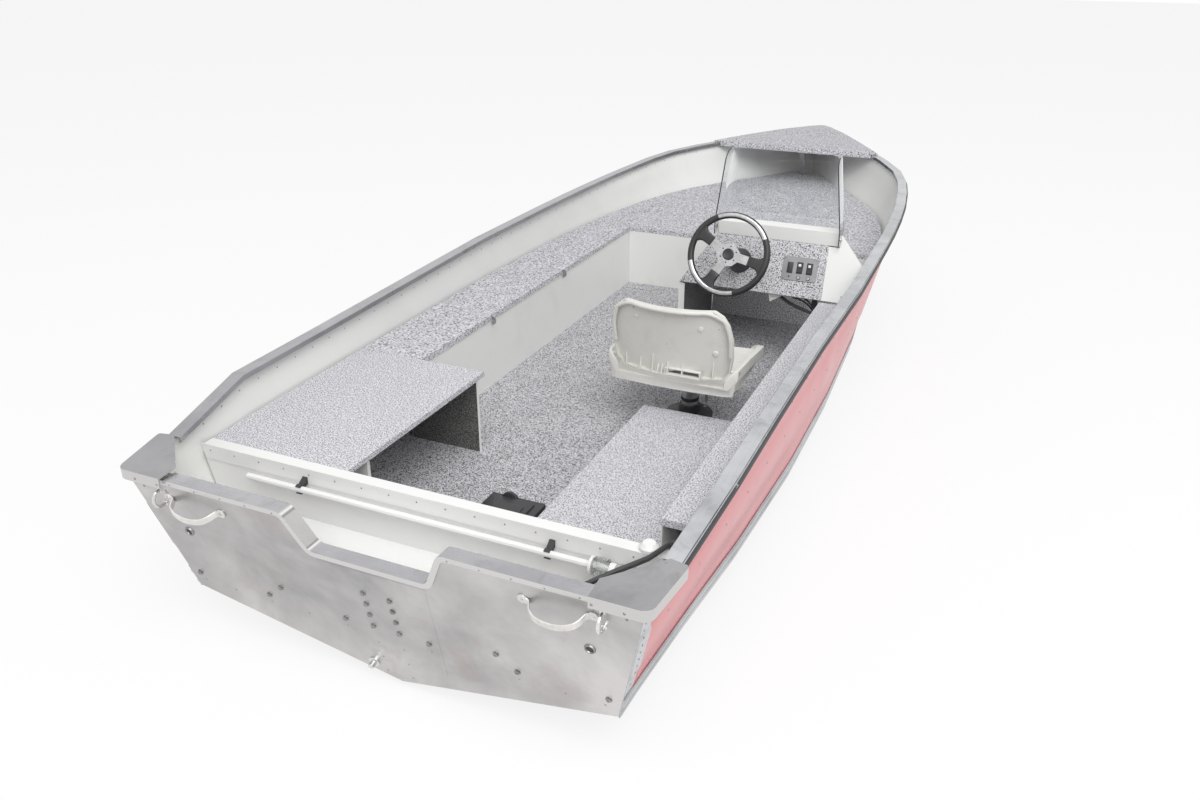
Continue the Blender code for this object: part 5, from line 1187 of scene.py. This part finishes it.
class DashOperator(bpy.types.Operator):
    """Fit the switches, the buttons, and the bracket and leads under the dash"""
    bl_idname = "boat.dash"
    bl_label = "Dash fittings"

    def execute(self, context):
        place = sloped(DASH_FOOT)
        wide, tall = PANEL_HIGH[0] - PANEL_LOW[0], PANEL_HIGH[1] - PANEL_LOW[1]

        def at(u, v):
            """The place on the panel at these shares of its breadth and height."""
            return PANEL_LOW[0] + wide * u, PANEL_LOW[1] + tall * v

        def block(bm, x, v, half, low, high, corner, edge):
            """A rounded block with these half sizes, from low to high over the panel's front."""
            rounded_box((x - half[0], v - half[1], PANEL_FRONT + low), (x + half[0], v + half[1], PANEL_FRONT + high),
                        corner, place, bm, edge)
        dark, pale = bmesh.new(), bmesh.new()
        block(dark, *at(0.22, 0.52), (0.0135, 0.0255), -0.0005, 0.0022, 0.002, 0.0008)
        for u in (0.50, 0.78):
            x, v = at(u, 0.54)
            block(dark, x, v, (0.0140, 0.0270), -0.0005, 0.0025, 0.002, 0.001)
            rocker, low = [], PANEL_FRONT - 0.0005
            for share, lift in ROCKER:
                y, front = v + 0.0225 * share, PANEL_FRONT + lift
                rocker.append([(x - 0.0105, y, low), (x + 0.0105, y, low), (x + 0.0105, y, front - 0.001),
                               (x + 0.0095, y, front), (x - 0.0095, y, front), (x - 0.0105, y, front - 0.001)])
            loft_mesh(placed(rocker, place), bm=dark)
            block(pale, x, v + 0.0115, (0.0062, 0.0060), 0.0066, 0.0100, 0.001, 0.0005)
            x, v = at(u, 0.13)
            spot = place @ Matrix.Translation((x, v, PANEL_FRONT - 0.0004))
            turned_mesh(((0, 0), (0.0090, 0), (0.0090, 0.0030), (0.0078, 0.0040), (0.0068, 0.0030), (0, 0.0030)),
                        24, dark, spot)
            turned_mesh(((0, 0.0028), (0.0062, 0.0028), (0.0062, 0.0052), (0.0050, 0.0062), (0, 0.0064)), 20, pale,
                        spot)
            bar = spot @ Matrix.Rotation(math.radians(-35), 4, "Z")
            rounded_box((-0.0048, -0.0012, 0.0060), (0.0048, 0.0012, 0.0074), 0.0008, bar, dark, 0.0004)
        x, v = at(0.22, 0.14)
        turned_mesh(((0, 0), (0.0042, 0), (0.0042, 0.0006), (0, 0.0006)), 16, dark,
                    place @ Matrix.Translation((x, v, PANEL_FRONT - 0.0002)))
        piece("switch_bodies", dark, "black_moulding", "black_plastic")
        piece("switch_lenses", pale, "white_moulding", "white_paint")
        out = place.to_3x3() @ Vector((0, 0, 1))
        corners = [(place @ Vector((*at(u, v), PANEL_FRONT)), out) for u, v in PANEL_CORNERS]
        fasten("switch_panel_screws", "hub_screw", [corners])
        skin = Skin("dash_panel", "console_wing", "starboard_shelf")
        fasten("dash_screws", "hub_screw", [[skin.hit(CAMERA_PLACE, sight(*pixel)) for pixel in DASH_SCREWS]])
        self.under_dash()
        return {"FINISHED"}

    @staticmethod
    def under_dash():
        """The bracket, the two leads and their clamp, behind the foot of the dash."""
        foot, high = DASH_FOOT[1], DASH_FOOT[2] + 0.004
        corners = [seen_at_y(*pixel, foot + BRACKET_DEEP) for pixel in BRACKET_CORNERS]
        for corner in corners[:2]:
            corner.z = max(corner.z, high)
        plate = loft_mesh([[tuple(corner + Vector((0, thick, 0))) for corner in corners] for thick in (0.0, 0.004)])
        piece("dash_bracket", plate, "white_enamel", "white_paint")
        bm = bmesh.new()
        for lift in (0.0, 0.016):
            line = [seen_at_y(*pixel, foot + LEAD_DEEP) + Vector((0, 0, lift)) for pixel in LEAD_LINE]
            along_path(smooth_path(line, 4), round_section(0.0045, 8), (0, 1, 0), bm)
        piece("dash_leads", bm, "black_moulding", "black_plastic", crease=50.0)
        turn = Matrix.Translation(seen_at_y(*LEAD_CLAMP, foot + CLAMP_DEEP)) @ Matrix.Rotation(math.pi / 2, 4, "X")
        clamp = rounded_box((-0.012, -0.022, -0.010), (0.012, 0.022, 0.010), 0.004, turn, edge=0.002)
        piece("dash_lead_clamp", clamp, "black_moulding", "black_plastic")


# Lifting handle: (x, height over the bottom plates, distance off the transom)
HANDLE_LINE = ((0.494, 0.550, 0.0030), (0.516, 0.5455, 0.0030), (0.524, 0.543, 0.0080), (0.536, 0.540, 0.0300),
               (0.560, 0.5345, 0.0440), (0.604, 0.532, 0.0490), (0.646, 0.538, 0.0450), (0.672, 0.546, 0.0320),
               (0.684, 0.551, 0.0080), (0.692, 0.5535, 0.0030), (0.714, 0.559, 0.0030))
HANDLE_FEET = ((0.503, 0.5485), (0.705, 0.557))
STRAP_HALF, STRAP_THICK = 0.0112, 0.0028     # half its breadth and half its thickness
EYE_X, EYE_Z, EYE_HALF = 0.732, 0.552, 0.026


class SternOperator(bpy.types.Operator):
    """Cast the lifting handles and detail the stern light, the eyes and the tray"""
    bl_idname = "boat.stern"
    bl_label = "Stern fittings"

    def execute(self, context):
        across = Vector((0, -math.sin(TRANSOM_RAKE), math.cos(TRANSOM_RAKE)))
        normal = Vector((0, -math.cos(TRANSOM_RAKE), -math.sin(TRANSOM_RAKE)))
        outline = [(a * STRAP_THICK, b * STRAP_HALF, 0) for a, b in ((-1, -1), (1, -1), (1, 1), (-1, 1))]
        section = [(a, b) for a, b, _ in rounded(outline, (0.0024,) * 4, 3)]
        bolts = []
        for word, side in SIDES:
            path = smooth_path([off_transom(side * x, z, out) for x, z, out in HANDLE_LINE], 3)
            feet = [(off_transom(side * x, z, 0.0056), normal) for x, z in HANDLE_FEET]
            bm = along_path(path, section, across)
            for place, out in feet:
                turned_mesh(((0, -0.0050), (0.0150, -0.0050), (0.0150, -0.0012), (0.0132, 0), (0, 0)), 28, bm,
                            facing_matrix(place, out))
            piece(f"handle_strap_{word}", bm, "handle_aluminium", "cast_aluminium", f"handle_{word}", crease=35.0)
            bolts += feet
            base = [(off_transom(side * EYE_X, EYE_Z + lift, 0.0), normal) for lift in (-EYE_HALF, EYE_HALF)]
            fasten(f"eye_washers_{word}", "washer", [base], **STEEL)
        fasten("handle_bolts", "small_bolt", [bolts], **STEEL)
        self.stern_light()
        self.tray()
        return {"FINISHED"}

    @staticmethod
    def stern_light():
        """The light's cap, collar and stem, and the ribs round its clear globe."""
        low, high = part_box("light_globe")
        middle = (low + high) / 2
        place = Matrix.Translation((low.x, middle.y, middle.z)) @ Matrix.Rotation(math.pi / 2, 4, "Y")
        bm = turned_mesh(((0, 0.0555), (0.0188, 0.0555), (0.0212, 0.0580), (0.0212, 0.0700), (0.0190, 0.0742),
                          (0, 0.0748)), 32, place=place)
        turned_mesh(((0, -0.0005), (0.0276, -0.0005), (0.0276, 0.0070), (0.0255, 0.0090), (0, 0.0090)), 32, bm, place)
        turned_mesh(((0, 0.0085), (0.0085, 0.0085), (0.0085, 0.0450), (0.0070, 0.0540), (0, 0.0560)), 20, bm, place)
        piece("light_caps", bm, "white_moulding", "white_paint")
        bm = bmesh.new()
        for k in range(6):
            z = 0.0130 + 0.0068 * k
            turned_mesh(((0.0266, z), (0.0277, z + 0.0006), (0.0277, z + 0.0020), (0.0266, z + 0.0026),
                         (0.0266, z)), 32, bm, place)
        piece("light_ribs", bm, "clear_acrylic", "clear_acrylic", crease=50.0)

    @staticmethod
    def tray():
        """The tray's lid with a raised panel, its crest and catch, and the bright lines along two edges."""
        low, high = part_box("battery_tray")
        dark, pale = bmesh.new(), bmesh.new()
        top = high.z
        x0, x1, y0, y1 = low.x, high.x, low.y, high.y
        rounded_box((x0 + 0.010, y0 + 0.014, top - 0.001), (x1 - 0.030, y1 - 0.020, top + 0.006), 0.012, None, dark,
                    0.003)
        rounded_box((x0 + 0.028, y0 + 0.040, top + 0.005), (x1 - 0.052, y1 - 0.060, top + 0.010), 0.008, None, dark,
                    0.002)
        crest = []
        for k in range(9):
            x = -0.018 + 0.062 * k / 8
            rise = 0.020 * math.sin(math.pi * k / 8) ** 0.6 if 0 < k < 8 else 0.002
            crest.append([(x, y1 - 0.020, top - 0.001), (x, y1 - 0.002, top - 0.001), (x, y1 - 0.004, top + rise),
                          (x, y1 - 0.016, top + rise)])
        loft_mesh(crest, bm=dark)
        rounded_box((x1 - 0.026, y0 + 0.110, top - 0.001), (x1 - 0.004, y0 + 0.160, top + 0.012), 0.003, None, dark,
                    0.002)
        rounded_box((x0 + 0.004, y0 + 0.001, top - 0.004), (x1 - 0.008, y0 + 0.006, top + 0.0015), 0.001, None, pale,
                    0.0005)
        rounded_box((x0 + 0.001, y0 + 0.010, top - 0.003), (x0 + 0.006, y0 + 0.070, top + 0.0015), 0.001, None, pale,
                    0.0005)
        piece("tray_lid", dark, "black_moulding", "black_plastic")
        piece("tray_edge_lines", pale, "polished_steel", "polished_steel")


# Marks on the seat back's rear, as pixels of the photograph's frame
BACK_BOSSES = ((700.6, 329.1, 0.0105), (715.8, 353.7, 0.0115), (636.5, 315.5, 0.0080))
BACK_SCREWS = ((664.2, 315.8), (628.1, 338.0), (719.0, 329.5), (666.5, 343.4))
# Webs at the back's foot and top: x across from the seat's middle, and how far they rise
BACK_GUSSETS = ((-0.196, 0.046), (-0.128, 0.044), (-0.072, 0.070), (-0.050, 0.030), (-0.032, 0.034), (-0.008, 0.048),
                (0.052, 0.046), (0.172, 0.060))
TOP_GUSSETS = ((-0.150, 0.026), (0.070, 0.026), (-0.040, 0.016))
# The back over its hinge, to follow its edge: height, half-breadth, lean, then the top's half-breadth, height and lean
BACK_SIDE = ((0.070, 0.2475, 0.012), (0.105, 0.2480, 0.020), (0.140, 0.248, 0.028), (0.175, 0.2425, 0.036),
             (0.205, 0.234, 0.044), (0.230, 0.221, 0.0507))
BACK_TOP = (0.178, 0.262, 0.060)
BACK_SLOT = (-0.020, 0.128)    # ends of the slot in its foot, across from the seat's middle
BACK_SET, BACK_CURVE, BACK_RIM = 0.030, 0.042, 0.026
BEAD_AFT, BEAD_WIDE, BEAD_DEEP = 0.0025, 0.0078, 0.0058
BEHIND_BACK = 0.9              # Y of a place aft of the seat, from which the back's rear is met


class SeatOperator(bpy.types.Operator):
    """Add the moulded seat's rim, webs, bosses, slot, pins and lever"""
    bl_idname = "boat.seat"
    bl_label = "Seat"

    def execute(self, context):
        skin = Skin("seat_back")
        bm = bmesh.new()
        for px, py, radius in BACK_BOSSES:
            found = skin.hit(CAMERA_PLACE, sight(px, py))
            turned_mesh(((0, -0.002), (radius, -0.002), (radius, 0.0045), (0.75 * radius, 0.0065), (0, 0.0070)), 20,
                        bm, facing_matrix(*found))
        foot = SEAT_HINGE[2] - 0.0355
        for x, rise in BACK_GUSSETS:
            self.gusset(bm, skin, SEAT_HINGE[0] + x, foot, 1.15 * rise, 0.024)
        head = SEAT_HINGE[2] + 0.2575
        for x, rise in TOP_GUSSETS:
            self.gusset(bm, skin, SEAT_HINGE[0] + x, head - 0.006, -rise, 0.016)
        x0, x1 = (SEAT_HINGE[0] + x for x in BACK_SLOT)
        deep = skin.hit((0.5 * (x0 + x1), BEHIND_BACK, foot + 0.012), (0, 1, 0))[0].y
        turn = Matrix.Translation((0, deep + 0.001, foot)) @ Matrix.Rotation(math.pi / 2, 4, "X")
        for start, stop in (((x0, 0.0, 0.0), (x1, 0.006, 0.023)), ((x0, 0.0, 0.0), (x0 + 0.005, 0.028, 0.020)),
                            ((x1 - 0.005, 0.0, 0.0), (x1, 0.028, 0.020)), ((x0, 0.024, 0.0), (x1, 0.029, 0.018))):
            rounded_box(start, stop, 0.002, turn, bm, 0.001)
        piece("back_mouldings", bm, "seat_moulding", "moulded_seat", body="seat_back")
        self.rolled_rim()
        dark = rounded_box((x0 + 0.006, 0.006, 0.0), (x1 - 0.006, 0.024, 0.0035), 0.001, turn)
        piece("back_slot", dark, "shadow_gap", "moulded_seat", body="seat_back")
        spots = [skin.hit(CAMERA_PLACE, sight(*pixel)) for pixel in BACK_SCREWS]
        fasten("back_screws", "hub_screw", [spots], body="seat_back", **STEEL)
        low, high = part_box("seat_pan")
        pins = [(Vector((x, SEAT_HINGE[1], SEAT_HINGE[2])), Vector((way, 0, 0)))
                for x, way in ((low.x + 0.0075, -1), (high.x - 0.0075, 1))]
        fasten("back_pin_heads", "washer", [pins], body="seat_back", **STEEL)
        bm = rounded_box((0.398, 1.704, up(0.302)), (0.410, 1.707, up(0.4405)), 0.0025, edge=0.0008)
        piece("swivel_lever", bm, "grey_panel", "mill_aluminium", body="seat")
        place = Matrix.Translation((*SEAT_POST, up(0.0)))
        bm = turned_mesh(((0.0352, 0.300), (0.0375, 0.300), (0.0385, 0.303), (0.0385, 0.312), (0.0375, 0.315),
                          (0.0352, 0.315), (0.0352, 0.300)), 32, place=place)
        piece("post_collar", bm, "black_moulding", "black_plastic")
        bolts = [(place @ Vector((0.074 * math.cos(a), 0.074 * math.sin(a), 0.2505)), Vector((0, 0, 1)))
                 for a in (math.radians(45 + 90 * k) for k in range(4))]
        fasten("base_bolts", "small_bolt", [bolts], **STEEL)
        return {"FINISHED"}

    @staticmethod
    def rolled_rim():
        """The rounded bead along the sides and the top of the back."""
        climb = [Vector((half - BEAD_WIDE, BACK_CURVE - BACK_RIM - lean, height)) for height, half, lean in BACK_SIDE]
        corner_half, top, lean = BACK_TOP
        crown = [Vector((corner_half * s, BACK_CURVE * s * s - BACK_RIM - lean, top - BEAD_WIDE))
                 for s in (0.90, 0.6, 0.3, 0.0, -0.3, -0.6, -0.90)]
        mirror = [Vector((-spot.x, spot.y, spot.z)) for spot in reversed(climb)]
        hinge = Vector(SEAT_HINGE) + Vector((0, BEAD_AFT - BACK_SET, 0))
        path = smooth_path([hinge + spot for spot in climb + crown + mirror], 4)
        section = [(BEAD_WIDE * a, BEAD_DEEP * b) for a, b in round_section(1.0, 12)]
        piece("back_rim", along_path(path, section, (0, -1, 0)), "seat_moulding", "moulded_seat", body="seat_back",
              crease=50.0)

    @staticmethod
    def gusset(bm, skin, x, level, rise, deep):
        """A thin triangular web between the panel and its rim."""
        near = skin.hit((x, BEHIND_BACK, level + 0.004 * (1 if rise > 0 else -1)), (0, 1, 0))
        far = skin.hit((x, BEHIND_BACK, level + rise), (0, 1, 0))
        y0, y1, half = near[0].y, far[0].y, 0.0024
        rings = [[(x + s, y0 + 0.002, level), (x + s, y0 - deep, level), (x + s, y1 - 0.001, level + rise),
                  (x + s, y1 + 0.002, level + rise)] for s in (-half, half)]
        loft_mesh(rings, bm=bm)


# The wall hooks' backs, as pixels of the photograph's frame
WALL_HOOKS = ((491.0, 321.5), (562.0, 274.5))


class InsideOperator(bpy.types.Operator):
    """Hang the wall hooks"""
    bl_idname = "boat.inside"
    bl_label = "Inside fittings"

    def execute(self, context):
        skin = Skin("port_wall")
        bm = bmesh.new()
        for pixel in WALL_HOOKS:
            x, y, z = skin.hit(CAMERA_PLACE, sight(*pixel))[0]
            turn = [math.radians(100 - 200 * k / 8) for k in range(9)]
            line = [Vector((x - 0.001, y, z + 0.018)), Vector((x + 0.004, y, z + 0.018))]
            line += [Vector((x + 0.006 + 0.012 * math.cos(a), y, z + 0.006 + 0.012 * math.sin(a))) for a in turn]
            along_path(line, [(-0.008, -0.0013), (0.008, -0.0013), (0.008, 0.0013), (-0.008, 0.0013)], (0, 1, 0), bm)
        piece("wall_hooks", bm, "grey_panel", "mill_aluminium")
        return {"FINISHED"}


LAMP_PLACE, LAMP_TARGET, LAMP_SIZE = (4.5, -4.5, 9.5), (0.0, 2.4, 0.0), 9.0
PAPER_GLOW = 0.80              # share of plain white in the floor, where it is seen directly


class StageOperator(bpy.types.Operator):
    """Set the pale floor, the soft light and the camera"""
    bl_idname = "boat.stage"
    bl_label = "Stage"

    def execute(self, context):
        scene = context.scene
        settings = scene.boat_stage
        scene.view_settings.view_transform = "Standard"
        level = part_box("keel")[0].z - 0.001
        bm = bmesh.new()
        half = settings.sweep
        bm.faces.new([bm.verts.new(p) for p in
                      ((-half, -half, level), (half, -half, level), (half, half, level), (-half, half, level))])
        floor = link_mesh("studio_floor", bm, self.floor_material(), turn_out=False)
        self.set_world(scene, settings)
        self.key_lamp(scene, settings.key_power)
        camera = bpy.data.objects.new("photo_camera", bpy.data.cameras.new("photo_camera"))
        scene.collection.objects.link(camera)
        camera.data.sensor_width = SENSOR
        camera.data.lens = PHOTO_FOCAL / PHOTO[0] * SENSOR
        right, down = camera_axes()
        back = right.cross(-down)
        turn = Matrix((right, -down, back)).transposed().to_4x4()
        turn.translation = Vector(CAMERA_PLACE)
        camera.matrix_world = turn
        scene.camera = camera
        return {"FINISHED"}

    @staticmethod
    def key_lamp(scene, power):
        """One large soft lamp, aimed at the middle of the boat."""
        data = bpy.data.lights.new("key_lamp", "AREA")
        data.energy = power
        data.shape = "RECTANGLE"
        data.size = data.size_y = LAMP_SIZE
        lamp = bpy.data.objects.new("key_lamp", data)
        scene.collection.objects.link(lamp)
        lamp.location = LAMP_PLACE
        lamp.rotation_euler = (Vector(LAMP_TARGET) - Vector(LAMP_PLACE)).to_track_quat("-Z", "Y").to_euler()

    @staticmethod
    def seen_directly(tree):
        """1 for rays from the camera, off a mirror or through glass."""
        path = tree.nodes.new("ShaderNodeLightPath").outputs
        seen = reckon(tree, "MAXIMUM", path["Is Camera Ray"], path["Is Glossy Ray"])
        return reckon(tree, "MAXIMUM", seen, path["Is Transmission Ray"])

    def floor_material(self):
        made = bpy.data.materials.new("studio_paper")
        made.use_nodes = True
        tree = made.node_tree
        shader = tree.nodes["Principled BSDF"]
        shader.inputs["Base Color"].default_value = (0.90, 0.90, 0.90, 1.0)
        shader.inputs["Roughness"].default_value = 0.9
        glow = add_node(tree, "ShaderNodeEmission", inputs={"Color": (1, 1, 1, 1), "Strength": 1.0})
        share = reckon(tree, "MULTIPLY", self.seen_directly(tree), PAPER_GLOW)
        mix = tree.nodes.new("ShaderNodeMixShader")
        tree.links.new(share, mix.inputs["Fac"])
        tree.links.new(shader.outputs["BSDF"], mix.inputs[1])
        tree.links.new(glow.outputs["Emission"], mix.inputs[2])
        tree.links.new(mix.outputs["Shader"], tree.nodes["Material Output"].inputs["Surface"])
        return made

    def set_world(self, scene, settings):
        world = bpy.data.worlds.new("studio")
        scene.world = world
        world.use_nodes = True
        tree = world.node_tree
        background = tree.nodes["Background"]
        background.inputs["Color"].default_value = (1.0, 1.0, 1.0, 1.0)
        strength = spread(tree, self.seen_directly(tree), 0.0, 1.0, settings.sky, 1.0)
        tree.links.new(strength, background.inputs["Strength"])


OPERATORS = (StageOperator, FinishOperator, RivetOperator, BoltOperator, StripOperator, WindshieldOperator,
             WheelOperator, DashOperator, SternOperator, SeatOperator, InsideOperator)


class BoatPanel(bpy.types.Panel):
    """Shows a button for each of the boat's steps"""
    bl_idname = "BOAT_PT_pieces"
    bl_label = "Boat"
    bl_space_type = "VIEW_3D"
    bl_region_type = "UI"
    bl_category = "Boat"

    def draw(self, context):
        for operator in OPERATORS:
            self.layout.operator(operator.bl_idname)


CLASSES = (HullSettings, StageSettings, *OPERATORS, BoatPanel)


def register():
    for item in CLASSES:
        bpy.utils.register_class(item)
    bpy.types.Scene.boat_hull = PointerProperty(type=HullSettings)
    bpy.types.Scene.boat_stage = PointerProperty(type=StageSettings)


def unregister():
    del bpy.types.Scene.boat_hull
    del bpy.types.Scene.boat_stage
    for item in reversed(CLASSES):
        bpy.utils.unregister_class(item)


def main():
    register()
    for operator in OPERATORS:
        group, name = operator.bl_idname.split(".")
        getattr(getattr(bpy.ops, group), name)()


if __name__ == "__main__":
    main()
